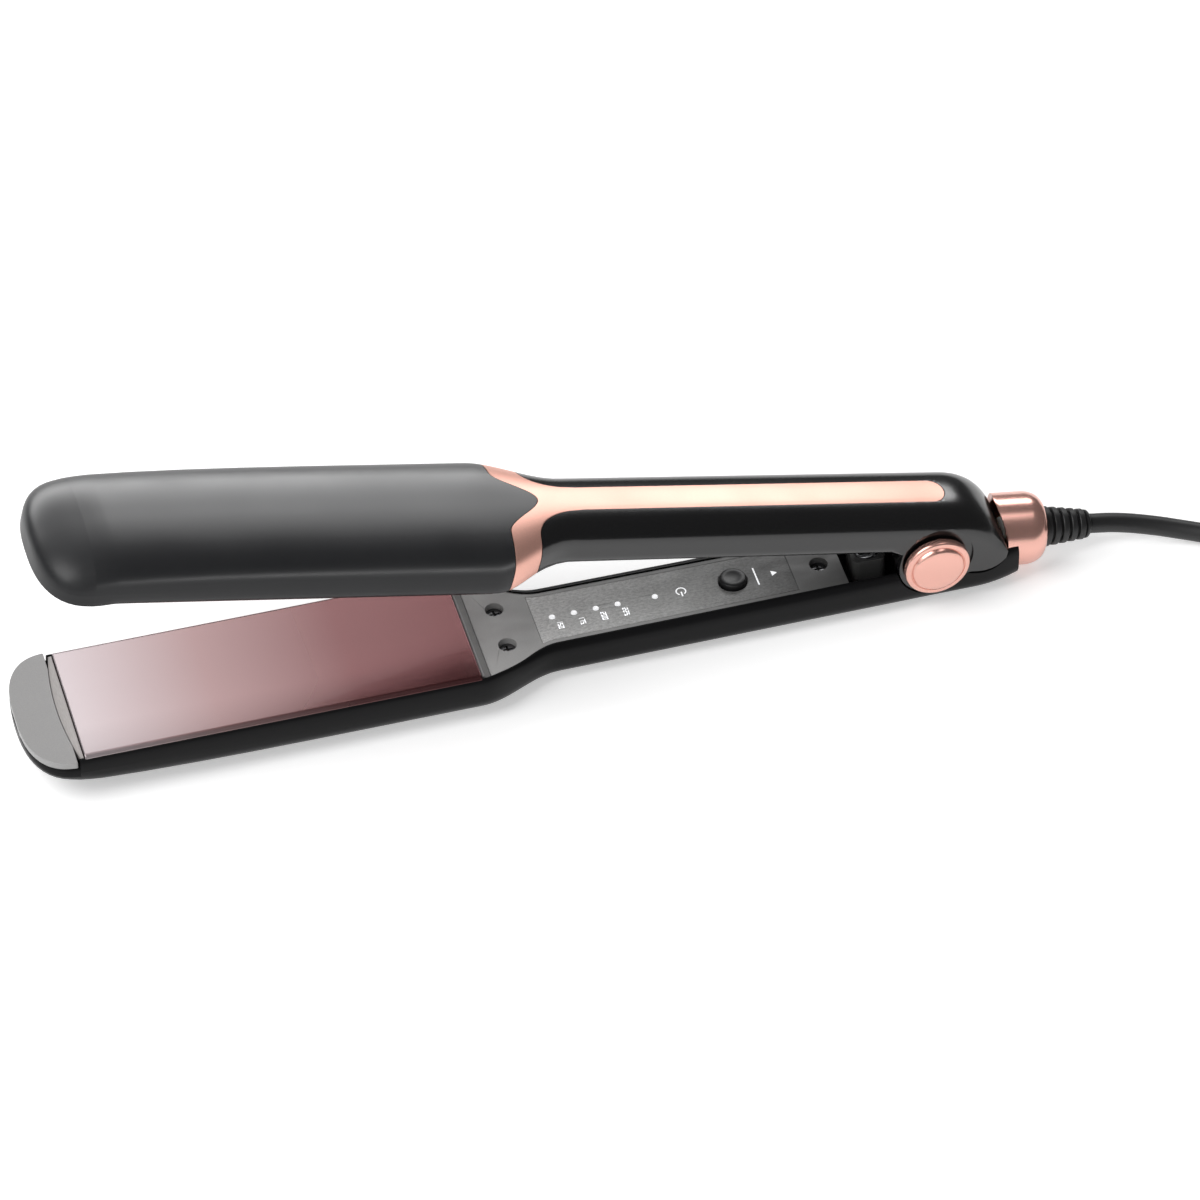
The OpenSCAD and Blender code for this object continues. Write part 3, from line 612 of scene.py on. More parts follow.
# an arm's length and depth, and its half widths at the jaw, the handle and the hinge
ARM_LEN, ARM_DEPTH = 256.0, 16.0
JAW_W, HANDLE_W, HINGE_W = 22.0, 12.7, 12.1
NECK_FRONT, NECK_BACK = -131.0, -107.0
# the tip's rounding from above and from the side, and the taper of the back towards it
TIP_ROUND, TIP_POWER, TIP_WALL = 14.0, 2.6, 1.5
BOW, BOW_POWER, TIP_DEPTH = 24.0, 2.3, 5.0
TAPER_FROM, TAPER = -165.0, 3.0
# heated plate and heel bar, and the rim's height beside them
PLATE_FRONT, PLATE_BACK, PLATE_W = -241.0, -131.0, 21.0
RIM_STEP = PLATE_FRONT - 1.6
HEEL_END, HEEL_RUN = -127.9, 12.0
RIM_TIP, RIM_PLATE, RIM_HANDLE, RIM_REAR = -3.0, -1.0, -3.1, -1.4
# at the jaw, and at the handle: wall, height of the crowned back, and the rim's rounded corner
WALL, RISE, TUCK_Y, TUCK_Z = (1.6, 2.4), (9.5, 7.0), (1.3, 2.0), (4.0, 3.0)
CROWN = 2.6
LEAST_SIDE, LEAST_RISE, INNER_STEP, STRIP_STEPS = 3.3, 0.3, 0.3, 6
# the upper arm's rear: its rounded end, and the cheeks round the hinge
REAR_FROM, REAR_LEN = 4.0, 17.2
CHEEK_FROM, CHEEK_R, CHEEK_DROP, CHEEK_TUCK = -12, 10.5, 3.5, 0.35
CORNER_R, CORNER_X = 8.0, 13.2
# the lower arm's rear end, which draws in and rises
REAR_START, REAR_END, REAR_IN, REAR_UP = 12.0, 24.5, 1.2, 1.6
# rose trim: half width of the strip, the chevron in front and the fillets behind
STRIP_W, STRIP_END, STRIP_THICK = 4.5, 2.0, 0.9
CHEVRON_SIDE, CHEVRON_MIDDLE, CHEVRON_HALF = -126.5, -116.0, 12.0
FILLET_X, FILLET_Y, TRIM_BACK = -104.0, 13.0, -118.0
GAP = 0.12
# what is cut away: the pivot caps' recess, and the cheeks' and the corner's sweep
GROOVE_FROM, GROOVE_TO, GROOVE_LOW, GROOVE_HIGH = -106.5, 2.6, -15.0, -14.2
RECESS_Y, RECESS_X, RECESS_Z, RECESS_R = 11.4, 0.2, -1.6, 10.2
CUP_R, SWEEP_R, SWEEP_GAP, SWEEP_SPARE = 10.9, 21.7, 0.4, 0.6
CUT_HALF, CUT_REACH, MOUTH_REACH = 20, 40, 60.0
COLLAR_R, COLLAR_FROM = 10.2, 16.0


def neck(x):
    """0 along the jaw, 1 along the handle, and a smooth step between them."""
    return ease((x - NECK_FRONT) / (NECK_BACK - NECK_FRONT))


def half_w(x, upper=True):
    """Half the width of an arm at x."""
    start = TIP_ROUND - ARM_LEN
    if x < start:
        t = min(1.0, (start - x) / TIP_ROUND)
        return JAW_W * (1 - t ** TIP_POWER) ** (1 / TIP_POWER)
    if x < NECK_BACK:
        return mix(JAW_W, HANDLE_W, neck(x))
    if not upper and x > REAR_START:
        return HINGE_W - REAR_IN * ((x - REAR_START) / (REAR_END - REAR_START)) ** 2
    return mix(HANDLE_W, HINGE_W, min(1.0, (x - NECK_BACK) / -NECK_BACK))


def depth(x, upper):
    """Distance from the plane where the plates meet to an arm's back at x."""
    if x < TAPER_FROM:
        body = ARM_DEPTH - TAPER * ((TAPER_FROM - x) / (TAPER_FROM + ARM_LEN)) ** 3
        t = min(1.0, max(0.0, (BOW - ARM_LEN - x) / BOW))
        return mix(TIP_DEPTH, body, (1 - t ** BOW_POWER) ** (1 / BOW_POWER))
    if upper and x > REAR_FROM:
        return ARM_DEPTH * math.sqrt(max(0.0, 1 - ((x - REAR_FROM) / REAR_LEN) ** 2))
    if not upper and x > REAR_START:
        return ARM_DEPTH - REAR_UP * ((x - REAR_START) / (REAR_END - REAR_START)) ** 2
    return ARM_DEPTH


def rim(x, upper):
    """Height of an arm's rim, seen from the plane where the plates meet."""
    if x < RIM_STEP:
        return RIM_PLATE if upper else RIM_TIP
    if x < (-CHEEK_R if upper else REAR_START):
        return mix(RIM_PLATE, RIM_HANDLE, ease((x - HEEL_END) / HEEL_RUN))
    if not upper:
        return mix(RIM_HANDLE, RIM_REAR, ease((x - REAR_START) / (REAR_END - REAR_START)))
    disc = math.sqrt(max(0.0, CHEEK_R ** 2 - x * x))
    if x > CORNER_X:
        return CHEEK_DROP - CORNER_R + math.sqrt(CORNER_R ** 2 - (x - CORNER_X) ** 2)
    return max(disc, CHEEK_DROP if x > 0 else 0.0)


def crown_z(y, a, d, b):
    """Height of an arm's back at y: a superellipse of half width a and height b, d deep."""
    return b - d - b * max(0.0, 1 - (abs(y) / a) ** CROWN) ** (1 / CROWN)


def section(x, upper, strip=STRIP_W):
    """Outer and inner outlines across an arm at x, rim to rim, and the strip's near column."""
    a, d, z = half_w(x, upper), depth(x, upper), rim(x, upper)
    side = d + min(z, -1)
    # wall, crown and rim corner, each smaller where the arm is narrow or shallow
    w = min(mix(*WALL, neck(x)), 0.4 * a, 0.45 * side)
    b = min(mix(*RISE, neck(x)), d - LEAST_SIDE)
    tuck_y, tuck_z = mix(*TUCK_Y, neck(x)), mix(*TUCK_Z, neck(x))
    if upper:
        tuck_y *= mix(0.05, 1.0, ease((x - RIM_STEP) / 10))
    if upper and x > REAR_FROM:
        b = min(b, max(LEAST_RISE, d - LEAST_SIDE - 0.4))
    if upper and x > CHEEK_FROM:
        tuck_y = tuck_z = CHEEK_TUCK
    tuck_y, tuck_z = min(tuck_y, w * 0.85), min(tuck_z, 0.3 * side)
    ai, bi = a - w, max(LEAST_RISE, b - w)
    di = d - w if not upper or x < 18 else min(d - 0.9, 3.4)
    # from the rim round its corner
    outer, inner = [(ai, z)], [(ai, z - INNER_STEP)]
    for k in range(6):
        t = math.radians(90 - 18 * k)
        outer.append((a - tuck_y + tuck_y * math.cos(t), z - tuck_z + tuck_z * math.sin(t)))
        inner.append((ai, z - INNER_STEP - tuck_z * (k + 1) / 6))
    # along the side
    low, low_i = min(b - d, z - tuck_z - 0.01), bi - di
    for k in (1, 2, 3):
        outer.append((a, mix(z - tuck_z, low, k / 3)))
        inner.append((ai, mix(z - INNER_STEP - tuck_z, min(low_i, z - 0.35 - tuck_z), k / 3)))
    # round the shoulder of the crown, then level steps to the strip's edge and to the middle
    for k in range(1, 13):
        t = math.radians(5 * k)
        c, h = math.cos(t) ** (2 / CROWN), math.sin(t) ** (2 / CROWN)
        outer.append((a * c, b - d - b * h))
        inner.append((ai * c, bi - di - bi * h))
    start, start_i = outer[-1][0], inner[-1][0]
    s, si = min(strip, 0.6 * start), min(strip, 0.6 * start_i)
    for from_y, from_i, to_y, to_i, count in ((start, start_i, s, si, 8),
                                              (s, si, 0, 0, STRIP_STEPS)):
        for k in range(1, count + 1):
            y, yi = mix(from_y, to_y, k / count), mix(from_i, to_i, k / count)
            outer.append((y, crown_z(y, a, d, b)))
            inner.append((yi, crown_z(yi, ai, di, bi)))
    near = [[(-y, z) for y, z in line] for line in (outer, inner)]
    far = [[(y, z) for y, z in reversed(line[:-1])] for line in (outer, inner)]
    return near[0] + far[0], near[1] + far[1], len(outer) - 1 - STRIP_STEPS


LINES = len(section(-200, True)[0])
NEAR_STRIP = section(-200, True)[2]
FAR_STRIP = LINES - 1 - NEAR_STRIP

tip_xs = [TIP_ROUND - ARM_LEN - TIP_ROUND * math.cos(math.radians(a)) ** (2 / TIP_POWER)
          for a in (1.2, 3.5, 6, 9, 12, 16, 20, 25, 30, 36, 43, 50, 58, 66, 74, 81)]
tip_xs += [RIM_STEP - 0.08, RIM_STEP, -240.5, -239, -237.5, -236]


def lines(xs_of, rows, upper, strip=STRIP_W, columns=range(LINES)):
    """Outer and inner grids; xs_of(k, row) gives where column k is in that row."""
    outer, inner = [], []
    for row in range(rows):
        o, i = [], []
        for k in columns:
            x = xs_of(k, row)
            so, si, _ = section(x, upper, strip)
            o.append((x, *so[k]))
            i.append((max(x, TIP_WALL - ARM_LEN), *si[k]))
        outer.append(o)
        inner.append(i)
    return outer, inner


def closed_patch(b, outer, inner, first=True, last=True, rims=(True, True), tip=False):
    """Skins outer and inner grids and closes the edges that are asked for; tip is a whole wall."""
    b.grid(outer)
    b.grid(inner)
    if tip:
        b.face(outer[0])
        b.face(inner[0])
        b.face([outer[0][0], outer[0][-1], inner[0][-1], inner[0][0]])
        first = False
    for row, wanted in ((0, first), (-1, last)):
        if wanted:
            b.bridge(outer[row], inner[row])
    for column, wanted in ((0, rims[0]), (-1, rims[1])):
        if wanted:
            b.bridge([r[column] for r in outer], [r[column] for r in inner])


def crossing(k, boundary, strip=STRIP_W):
    """Where column k of the upper arm meets a seam given as x = boundary(|y|)."""
    x = -120.0
    for _ in range(60):
        y = abs(section(x, True, strip)[0][k][0])
        x = mix(x, boundary(y), 0.4)
    return x


def chevron(y):
    """Seam between the jaw and the trim, which points back at the middle."""
    return mix(CHEVRON_SIDE, CHEVRON_MIDDLE, ease(1 - y / CHEVRON_HALF))


def fillet(y):
    """Front edge of the handle's casing: a quarter ellipse on each side of the strip."""
    if y >= FILLET_Y:
        return TRIM_BACK
    t = (FILLET_Y - y) / (FILLET_Y - STRIP_W)
    if t >= 1:
        return FILLET_X
    return FILLET_X - (FILLET_X - TRIM_BACK) * math.sqrt(max(0.0, 1 - t * t))


# Jaw shell of the upper arm: fixed stations, then rows that lean onto the chevron seam
seam = [crossing(k, lambda y: chevron(y) - GAP) for k in range(LINES)]
jaw_xs = tip_xs + [-225, -210, -195, -180, -165, -150, -140]
LEAN = 10


def jaw_x(k, row):
    if row < len(jaw_xs):
        return jaw_xs[row]
    return mix(jaw_xs[-1], seam[k], (row - len(jaw_xs) + 1) / LEAN)


b = Build(on_upper)
closed_patch(b, *lines(jaw_x, len(jaw_xs) + LEAN, True), tip=True)
jaw = b.done("upper_jaw", UPPER, "jaw", ["upper_jaw_shell"], 0.16)

# Rose trim: a chevron band that runs back into a strip along the handle
front_seam = [crossing(k, lambda y: chevron(y) + GAP) for k in range(LINES)]
back_seam = [crossing(k, lambda y: fillet(y) - GAP) for k in range(LINES)]
for k in range(NEAR_STRIP, FAR_STRIP + 1):
    back_seam[k] = FILLET_X
BAND_ROWS = 14
b = Build(on_upper)
outer, inner = lines(lambda k, row: mix(front_seam[k], back_seam[k], row / (BAND_ROWS - 1)),
                     BAND_ROWS, True)
closed_patch(b, outer, inner, last=False)
for side in (range(0, NEAR_STRIP + 1), range(FAR_STRIP, LINES)):
    b.bridge([outer[-1][k] for k in side], [inner[-1][k] for k in side])
strip_out, strip_in = [], []
STRIP_ROWS = 16
for row in range(STRIP_ROWS):
    t = row / (STRIP_ROWS - 1)
    o, i = [], []
    for k in range(NEAR_STRIP, FAR_STRIP + 1):
        y = section(FILLET_X, True)[0][k][0]
        end = STRIP_END - STRIP_W + math.sqrt(max(0.0, STRIP_W ** 2 - y * y))
        x = mix(FILLET_X, end, t)
        z = crown_z(y, half_w(x), ARM_DEPTH, RISE[1])
        o.append((x, y, z))
        i.append(inner[-1][k] if row == 0 else (x, y, z + STRIP_THICK))
    strip_out.append(o)
    strip_in.append(i)
closed_patch(b, strip_out, strip_in, first=False)
b.done("upper_trim_band", UPPER, "trim", ["upper_trim"], 0.16)

# Handle casing of the upper arm, with a groove for the strip and cheeks round the hinge
SLOT_W = STRIP_W + 2 * GAP
start_seam = [crossing(k, lambda y: fillet(y) + GAP, SLOT_W) for k in range(LINES)]
for k in (NEAR_STRIP, FAR_STRIP):
    start_seam[k] = FILLET_X + 0.01
HANDLE_LEAN = 8
SLOT_END, WHOLE = STRIP_END - STRIP_W, 2.5
handle_xs = [-92, -80, -60, -40, -20, -14, -CHEEK_R - 0.05, -CHEEK_R + 0.001]
handle_xs += [-CHEEK_R * math.cos(math.radians(a)) for a in range(10, 80, 10)]
handle_xs += [SLOT_END, 0.01, WHOLE, 4.0, 6.0, 8.0, 9.6, 11.5, 13.5, 15.3, 17, 18.3, 19.3, 20,
              20.5]


def handle_x(k, row):
    if row < HANDLE_LEAN:
        return mix(start_seam[k], handle_xs[0], row / HANDLE_LEAN)
    return handle_xs[row - HANDLE_LEAN]


b = Build(on_upper)
total = HANDLE_LEAN + len(handle_xs)
slot_rows = HANDLE_LEAN + handle_xs.index(SLOT_END) + 1
for columns, groove in ((range(0, NEAR_STRIP + 1), -1), (range(FAR_STRIP, LINES), 0)):
    outer, inner = lines(handle_x, total, True, SLOT_W, columns)
    closed_patch(b, outer, inner, rims=(groove == -1, groove == 0))
    b.bridge([r[groove] for r in outer[:slot_rows]], [r[groove] for r in inner[:slot_rows]])
# behind the strip's rounded end the top is whole again
middle_out, middle_in = [], []
mid = range(NEAR_STRIP, FAR_STRIP + 1)
for x_side in [x for x in handle_xs if x >= SLOT_END]:
    t = min(1.0, (x_side - SLOT_END) / (WHOLE - SLOT_END))
    so, si, _ = section(x_side, True, SLOT_W)
    o, i = [], []
    for k in mid:
        end = SLOT_END + math.sqrt(max(0.0, SLOT_W ** 2 - so[k][0] ** 2))
        x = mix(end, WHOLE, t) if t < 1 else x_side
        o.append((x, *so[k]))
        i.append((x, *si[k]))
    middle_out.append(o)
    middle_in.append(i)
closed_patch(b, middle_out, middle_in, rims=(False, False))
# floor of the groove
b.grid([[(x, -SLOT_W - 0.3, z), (x, SLOT_W + 0.3, z)]
        for x, z in ((GROOVE_FROM, GROOVE_LOW), (GROOVE_TO, GROOVE_LOW), (GROOVE_TO, GROOVE_HIGH),
                     (GROOVE_FROM, GROOVE_HIGH), (GROOVE_FROM, GROOVE_LOW))])
recess = arc(RECESS_X, RECESS_Z, RECESS_R, 0, 356, 89)
b.done("upper_handle", UPPER, "handle", ["upper_handle_shell"], 0.16,
       cuts=[across(on_upper, recess, side * RECESS_Y, side * CUT_REACH) for side in (-1, 1)])

# Housing of the lower arm, cleared for the cheeks and the collar
lower_xs = tip_xs + [-225, -210, -195, -180, -165, -150, -140, -134, NECK_FRONT]
lower_xs += [mix(NECK_FRONT, NECK_BACK, k / 16) for k in range(1, 17)]
lower_xs += [-100, -90, -75, -60, -45, -30, -15, -6, 0, 6, 12, 14, 16, 18, 20, 21.5, 22.9]
b = Build(on_lower)
outer, inner = lines(lambda k, row: lower_xs[row], len(lower_xs), False)
closed_patch(b, outer, inner, last=False, tip=True)
last_out, last_in = outer[-1], inner[-1]
end = [(REAR_END, y, z) for y, z in section(REAR_END, False)[0]]
b.face([last_out[0]] + last_in + [last_out[-1]])
b.grid([last_out, end])
b.face([last_out[0], end[0], end[-1], last_out[-1]])
b.face(end)
# the wedge clears the rear corner of the upper arm as it swings
tip_angle = OPEN + math.radians(SWEEP_SPARE)
corner_x = CORNER_X * math.cos(tip_angle) + (CORNER_R - CHEEK_DROP) * math.sin(tip_angle)
corner_z = (CORNER_R - CHEEK_DROP) * math.cos(tip_angle) - CORNER_X * math.sin(tip_angle)
wedge = [(0, -CHEEK_DROP - SWEEP_GAP)]
wedge += arc(corner_x, corner_z, CORNER_R + SWEEP_GAP, -90 - math.degrees(tip_angle), -23.4, 16)
wedge += arc(0, 0, SWEEP_R, -5.5, 90, 48)
mouth = [[(x, y, s) for x, y in circle(0, 0, COLLAR_R + 0.1, 96)]
         for s in (COLLAR_FROM, MOUTH_REACH)]
b.done("lower_housing", LOWER, "housing", ["lower_shell"], 0.16,
       cuts=[across(on_lower, arc(0, 0, CUP_R, 0, 356, 89), -CUT_HALF, CUT_HALF),
             across(on_lower, wedge, -CUT_HALF, CUT_HALF), cutter(on_swivel, mouth)])

# ---- hinge caps, collar and strain relief ----

CAP_R, COLLAR_BORE = 9.25, 8.1
cap_profile = [(0, 10.5), (4.9, 10.5), (4.9, 12.2), (CAP_R - 0.35, 12.2)]
cap_profile += arc(CAP_R - 0.35, 12.55, 0.35, -90, 0, 3)
cap_profile += arc(CAP_R - 0.8, 13.6, 0.8, 0, 90, 5)
cap_profile += [(7.75, 14.38), (7.6, 14.2), (7.45, 14.2), (7.3, 14.45)]
cap_profile += [(7.15 * math.cos(math.radians(a)), 14.6 + 1.3 * math.sin(math.radians(a)) ** 0.8)
                for a in range(6, 90, 7)] + [(0, 15.9)]
rose_pieces = []
for name, side, node in (("near", -1, "pivot_cap_near"), ("far", 1, "pivot_cap_far")):
    rose_pieces.append(turned(
        "hinge_cap_" + name, cap_profile,
        lambda p, side=side: on_upper((p[0], side * p[2], p[1])), UPPER, "rose",
        [node], 128))

collar_profile = [(COLLAR_BORE, COLLAR_FROM), (COLLAR_R - 0.25, COLLAR_FROM)]
collar_profile += arc(COLLAR_R - 0.25, COLLAR_FROM + 0.25, 0.25, -90, 0, 2)
collar_profile += [(COLLAR_R, 20), (COLLAR_R, 25)]
collar_profile += [(COLLAR_R - 3 + 3 * math.cos(math.radians(a)),
                    29 + 5 * math.sin(math.radians(a))) for a in range(0, 91, 9)]
collar_profile += [(6.2, 34.0), (6.0, 33.8), (6.0, 31), (COLLAR_BORE, 31)]
rose_pieces.append(turned(
    "cord_collar", collar_profile, on_swivel, LOWER, "rose",
    ["swivel_collar"], 128, 0.1, 50,
    cuts=[across(on_lower, arc(0, 0, SWEEP_R, 0, 357, 119), -CUT_HALF, CUT_HALF)]))

RIBS, RIB_START, RIB_R, RIB_DEEP, RIB_ROUND = 5, 34.3, 5.8, 0.9, 0.35
RELIEF_END, TIP_R = 48.5, 4.0
pitch = (RELIEF_END - 1.2 - RIB_START) / RIBS
relief = [(0, 28), (7.8, 28), (7.8, 30.7), (5.94, 30.7), (5.94, 34.2), (4.9, 34.25)]
for k in range(RIBS):
    z = RIB_START + k * pitch
    r = mix(RIB_R, TIP_R, (z + pitch / 2 - RIB_START) / (RELIEF_END - RIB_START))
    relief += [(r - RIB_DEEP, z + 0.06 * pitch), (r - RIB_DEEP, z + 0.16 * pitch)]
    relief += [(r - RIB_ROUND + RIB_ROUND * math.sin(math.radians(a)),
                z + 0.30 * pitch - RIB_ROUND * math.cos(math.radians(a))) for a in (30, 60, 90)]
    relief += [(r - RIB_ROUND + RIB_ROUND * math.cos(math.radians(a)),
                z + 0.70 * pitch + RIB_ROUND * math.sin(math.radians(a))) for a in (0, 30, 60)]
    relief += [(r - RIB_DEEP, z + 0.84 * pitch), (r - RIB_DEEP, z + 0.94 * pitch)]
relief += [(TIP_R, RELIEF_END - 1), (TIP_R - 0.1, RELIEF_END - 0.4), (TIP_R - 0.5, RELIEF_END),
           (0, RELIEF_END)]
turned("cord_sleeve", relief, on_swivel, SWIVEL, "cord", ["strain_relief"], 64)

# ---- heated plates ----


def heated_plate(name, place, body, node):
    """Coated plate with rounded long edges; thinner than its CAD node, to clear the wires."""
    e, w, top, under = 1.4, PLATE_W, -0.15, -1.95
    outline = [(-w, under), (w, under), (w, mix(under, top - e, 0.6))]
    outline += arc(w - e, top - e, e, 0, 90, 8)
    outline += arc(e - w, top - e, e, 90, 180, 8) + [(-w, mix(under, top - e, 0.6))]
    b = Build(place)
    b.solid([[(x, y, z) for y, z in outline]
             for x in (PLATE_FRONT, -225, -205, -185, -165, -147, PLATE_BACK)])
    b.done(name, body, "plate", [node], 0.25, 3, 50)


heated_plate("lower_hot_plate", on_lower, "lower_plate_unit", "lower_plate")
heated_plate("upper_hot_plate", on_upper, "upper_plate_unit", "upper_plate")

# ---- soft and springy pieces, each with a mesh of its own ----

CUSHION_LOW, CUSHION_HIGH, CUSHION_XS, CUSHION_Y = -14.38, -8.17, (-218, -152.5), 8


def cushions(name, place, body, node):
    """Four waisted silicone posts under a heated plate."""
    low, high = CUSHION_LOW, CUSHION_HIGH
    profile = [(0, low), (3.3, low), (3.5, low + 0.2), (3.5, low + 1.5), (3.2, low + 2.1),
               (3.0, low + 2.6), (3.0, high - 2.6), (3.2, high - 2.1), (3.5, high - 1.5),
               (3.5, high - 0.2), (3.3, high), (0, high)]
    b = Build(place)
    for x in CUSHION_XS:
        for y in (-CUSHION_Y, CUSHION_Y):
            b.grid([[(px, py, z) for px, py in circle(x, y, r, 40)] for r, z in profile],
                   loop=True)
    pads = b.done(name, body, "silicone", [node])
    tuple(place((0, 0, low)))
    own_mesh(pads)


cushions("lower_cushion_posts", on_lower, LOWER, "lower_cushions")
cushions("upper_cushion_posts", on_upper, UPPER, "upper_cushions")

SPRING_X, SPRING_LOW, SPRING_TALL, COIL_R, WIRE_R = -16.5, -8.0, 14.3, 2.7, 0.45
COIL_TURNS, COIL_STEPS, END_CLOSE = 6, 24, 0.6
b = Build(on_lower)
coil = []
for k in range(COIL_TURNS * COIL_STEPS + 1):
    u = k / (COIL_TURNS * COIL_STEPS)
    climb = u - END_CLOSE * math.sin(2 * math.pi * u) / (2 * math.pi)
    z = SPRING_LOW + 0.5 + (SPRING_TALL - 1) * climb
    turn = math.radians(360 / COIL_STEPS * k)
    coil.append([(SPRING_X + out * math.cos(turn), out * math.sin(turn), up)
                 for out, up in circle(COIL_R, z, WIRE_R, 10)])
b.solid(coil)
spring = b.done("opening_coil", LOWER, "steel", ["opening_spring"], angle=60)
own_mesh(spring)

# ---- button, lights and marks on the panel ----

PANEL_TOP, BUTTON_X, BUTTON_R = -3.5, -54.5, 3.7
LED_FIRST, LED_PITCH, POWER_X = -105.9, 6.2, -76.7
button = [(0, -6.4), (4.6, -6.4), (4.6, -5.6), (BUTTON_R, -5.6), (BUTTON_R, -2.5)]
button += arc(BUTTON_R - 0.6, -2.5, 0.6, 0, 70, 4) + [(2.3, -1.90), (1.9, -2.02), (0, -2.1)]
turned("power_key", button, lambda p: on_lower((BUTTON_X + p[0], p[1], p[2])), "button",
       "button", ["power_button"], 64)

dome_profile = [(3.4, -8.98), (4.6, -8.98), (4.55, -8.2), (4.1, -7.2), (4.0, -6.44), (3.4, -6.44),
                (3.5, -7.4), (3.75, -8.2)]
dome = turned("key_dome", dome_profile, lambda p: on_lower((BUTTON_X + p[0], p[1], p[2])), LOWER,
              "silicone", ["button_dome"], 64)
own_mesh(dome)

for name, node, places in (("level_lights_lit", "level_lights",
                            [LED_FIRST + k * LED_PITCH for k in range(4)]),
                           ("power_light_lit", "power_light", [POWER_X])):
    b = Build(on_lower)
    for x0 in places:
        profile = [(0, -9.0), (0.8, -9.0), (0.8, -3.5), (0.72, -3.32), (0.45, -3.2), (0, -3.16)]
        b.grid([[(x, y, z) for x, y in circle(x0, 0, r, 32)] for r, z in profile], loop=True)
    b.done(name, LOWER, "light", [node])


def flat_mark(b, points, z=PANEL_TOP + 0.012):
    """A printed mark: a thin flat shape that sits just on the panel."""
    b.solid([[(x, y, z - 0.02) for x, y in points], [(x, y, z) for x, y in points]])


def digits(b, text, x, y, height, turn):
    """Seven-segment style figures, drawn as bars; turn is the reading direction in degrees."""
    segments = {"0": "abcdef", "1": "bc", "2": "abged", "3": "abgcd", "4": "fgbc", "5": "afgcd",
                "6": "afgedc", "7": "abc", "8": "abcdefg", "9": "abcfgd"}
    w, t = height * 0.52, height * 0.15
    spots = {"a": (0, height - t, w, t), "b": (w - t, height / 2, t, height / 2),
             "c": (w - t, 0, t, height / 2), "d": (0, 0, w, t), "e": (0, 0, t, height / 2),
             "f": (0, height / 2, t, height / 2), "g": (0, height / 2 - t / 2, w, t)}
    c, s = math.cos(math.radians(turn)), math.sin(math.radians(turn))
    for n, figure in enumerate(text):
        for place in segments[figure]:
            px, py, pw, ph = spots[place]
            px += n * (w + height * 0.22)
            corners = [(px, py), (px + pw, py), (px + pw, py + ph), (px, py + ph)]
            flat_mark(b, [(x + u * c - v * s, y + u * s + v * c) for u, v in corners])


b = Build(on_lower)
for k, text in enumerate(("150", "175", "200", "225")):
    x0 = LED_FIRST + k * LED_PITCH
    digits(b, text, x0 + 0.7, -2.0, 1.5, -90)
ring = [[(POWER_X + 7.4 + r * math.cos(math.radians(a)), r * math.sin(math.radians(a)),
          PANEL_TOP + 0.012) for a in range(-60, 241, 20)] for r in (1.5, 1.15)]
for inner_point, outer_point, inner_next, outer_next in zip(ring[1], ring[0], ring[1][1:],
                                                            ring[0][1:]):
    flat_mark(b, [p[:2] for p in (inner_point, outer_point, outer_next, inner_next)])
flat_mark(b, [(POWER_X + 7.2, -0.2), (POWER_X + 7.6, -0.2), (POWER_X + 7.6, -2.0),
              (POWER_X + 7.2, -2.0)])
flat_mark(b, [(BUTTON_X + 6.4, -3.4), (BUTTON_X + 6.8, -3.4), (BUTTON_X + 6.8, 3.4),
              (BUTTON_X + 6.4, 3.4)])
flat_mark(b, [(BUTTON_X + 11.0, -1.0), (BUTTON_X + 12.6, 0), (BUTTON_X + 11.0, 1.0)])
# the printed marks take the glowing light material: their faint glow is painted light
b.done("panel_marks", LOWER, "light")

# ---- CAD nodes that stay ----

KEPT = {
    "lower_tip_cap": ("cap", 0.3), "upper_tip_cap": ("cap", 0.3),
    "lower_tip_bezel": ("bezel", 0.12), "upper_tip_bezel": ("bezel", 0.12),
    "lower_heel_bar": ("cap", 0.12), "upper_heel_bar": ("cap", 0.12),
    "lower_panel": ("panel", 0.18), "upper_cover": ("cover", 0.18),
    "panel_inlay": ("inlay", 0.08), "panel_screws": ("screw", 0.15),
    "upper_screws": ("steel", 0.15), "control_board": ("board", 0.1),
    "board_components": ("component", 0.15), "button_switch": ("component", 0.1),
    "spring_cup": ("cup", 0.15),
    "lower_hinge_bracket": ("steel", 0.15),
    "upper_hinge_bracket": ("steel", 0.15), "hinge_pin": ("steel", 0.2),
    "hinge_washers": ("nylon", 0.05), "lower_heater": ("alloy", 0.25),
    "upper_heater": ("alloy", 0.25), "lower_heater_clip": ("steel", 0.12),
    "upper_heater_clip": ("steel", 0.12), "lower_thermal_fuse": ("fuse", 0.1),
    "upper_thermal_fuse": ("fuse", 0.1), "lower_wires": ("wire_red", 0),
    "upper_wires": ("wire_blue", 0), "swivel_spindle": ("nylon", 0.2),
    "slip_rings": ("brass", 0.1)}
for node, (mat, ease_r) in KEPT.items():
    dress(node, mat, ease_r)

# ---- floor, light and surroundings ----


def stage_material():
    """Pale floor that also glows a little, so that it renders near white."""
    m, tree, bsdf = nodes_of("floor_pale")
    fac = noise(tree, coords(tree), 0.01, 2)
    link(tree, ramp(tree, fac, [(0.2, (0.86, 0.86, 0.86)), (0.8, (0.9, 0.9, 0.9))]),
         bsdf.inputs["Base Color"])
    bsdf.inputs["Roughness"].default_value = 0.85
    bsdf.inputs["Emission Color"].default_value = (1, 1, 1, 1)
    bsdf.inputs["Emission Strength"].default_value = 0.42
    return m


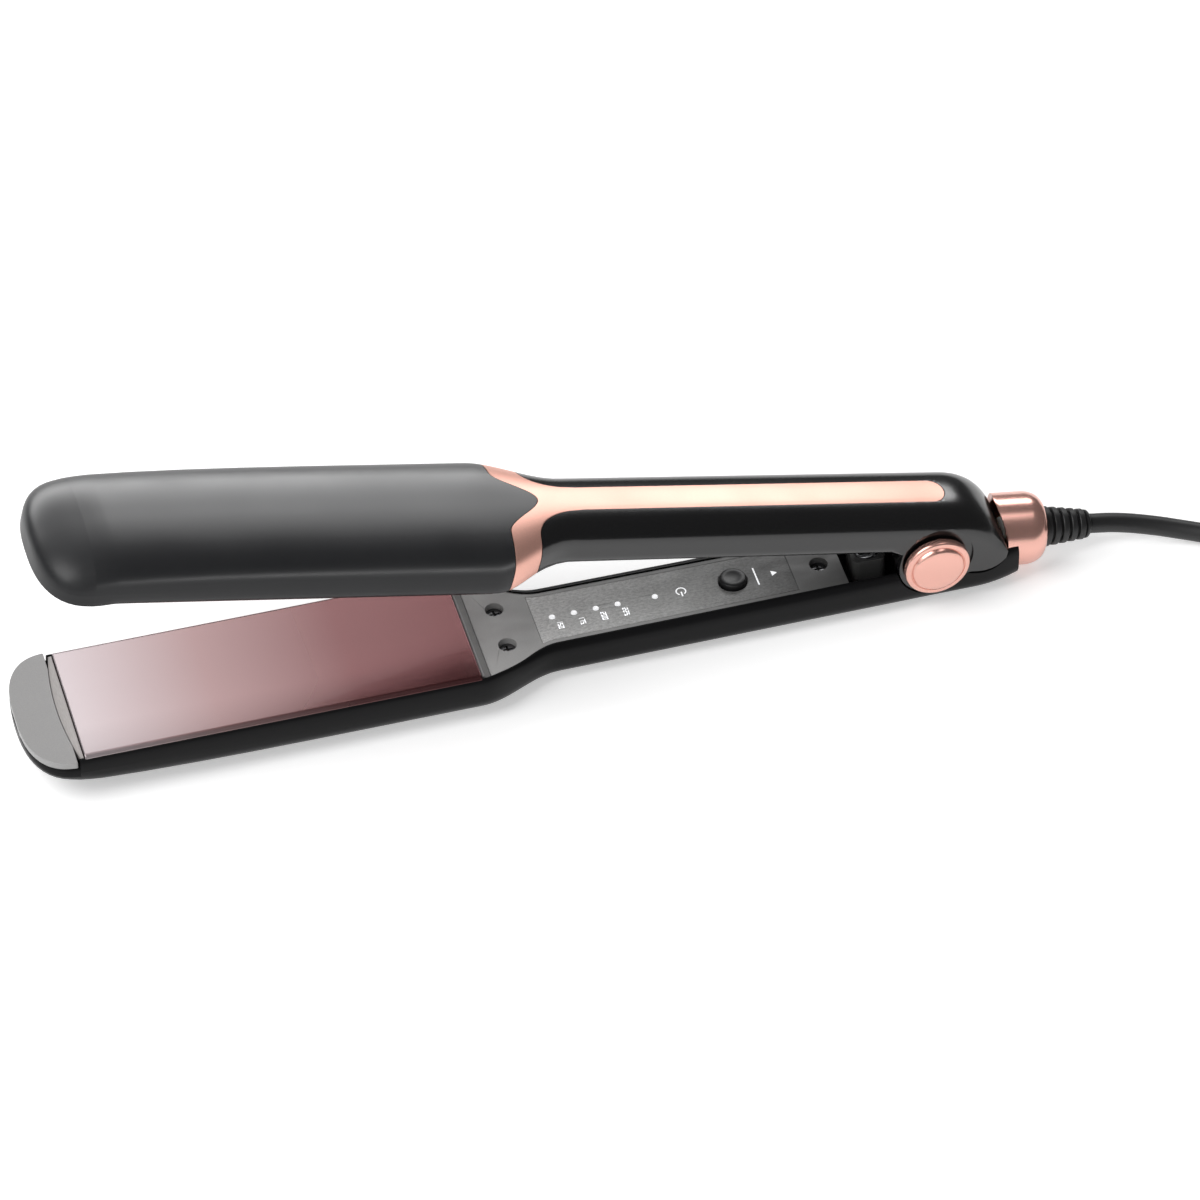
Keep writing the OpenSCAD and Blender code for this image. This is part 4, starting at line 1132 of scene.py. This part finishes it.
floor_mesh = bpy.data.meshes.new("floor")
floor_mesh.from_pydata([(-6, -6, 0), (6, -6, 0), (6, 6, 0), (-6, 6, 0)], [], [(0, 1, 2, 3)])
floor_mesh.materials.append(stage_material())
floor_obj = bpy.data.objects.new("floor", floor_mesh)
floor_obj.location.z = -0.0005
bpy.context.scene.collection.objects.link(floor_obj)


TARGET = Vector((-0.03, 0, 0.05))


def aimed(name, direction, distance, size, radiance):
    """White softbox seen from the object in a direction; radiance is how bright it looks."""
    data = bpy.data.lights.new(name, "AREA")
    data.shape, data.size, data.size_y = "RECTANGLE", size[0], size[1]
    data.energy = math.pi * radiance * size[0] * size[1]
    obj = bpy.data.objects.new(name, data)
    bpy.context.scene.collection.objects.link(obj)
    obj.location = TARGET + Vector(direction).normalized() * distance
    obj.rotation_euler = (TARGET - obj.location).to_track_quat("-Z", "Y").to_euler()
    return obj


def only_on(light, pieces):
    """Limits a light to some pieces, as a flag or a mask does in a studio."""
    group = bpy.data.collections.new(light.name + "_lights")
    for piece in pieces:
        group.objects.link(piece)
    light.light_linking.receiver_collection = group


aimed("key", (-0.55, -0.12, 0.83), 1.8, (1.3, 1.3), 5.0)
aimed("fill", (-0.6, -0.6, 0.53), 2.0, (2.6, 1.8), 0.9)
aimed("rear", (0.42, 0.72, 0.55), 1.6, (0.85, 0.42), 6.0)
aimed("backdrop", (0.12, 0.70, 0.70), 1.7, (0.62, 0.6), 1.15)
only_on(aimed("jaw_back", (-0.04, 0.90, 0.36), 1.6, (1.8, 0.5), 12.5), [jaw])
only_on(aimed("jaw_front", (0.55, -0.85, 0.10), 2.2, (1.7, 0.35), 13.0), [jaw])
only_on(aimed("rose_top", (0.45, -0.25, 0.85), 1.8, (1.0, 0.45), 1.6), rose_pieces)

world = bpy.data.worlds.new("world")
world.use_nodes = True
world.node_tree.nodes["Background"].inputs["Color"].default_value = (0.95, 0.95, 0.96, 1)
world.node_tree.nodes["Background"].inputs["Strength"].default_value = 0.12
bpy.context.scene.world = world
bpy.context.scene.view_settings.view_transform = "Standard"
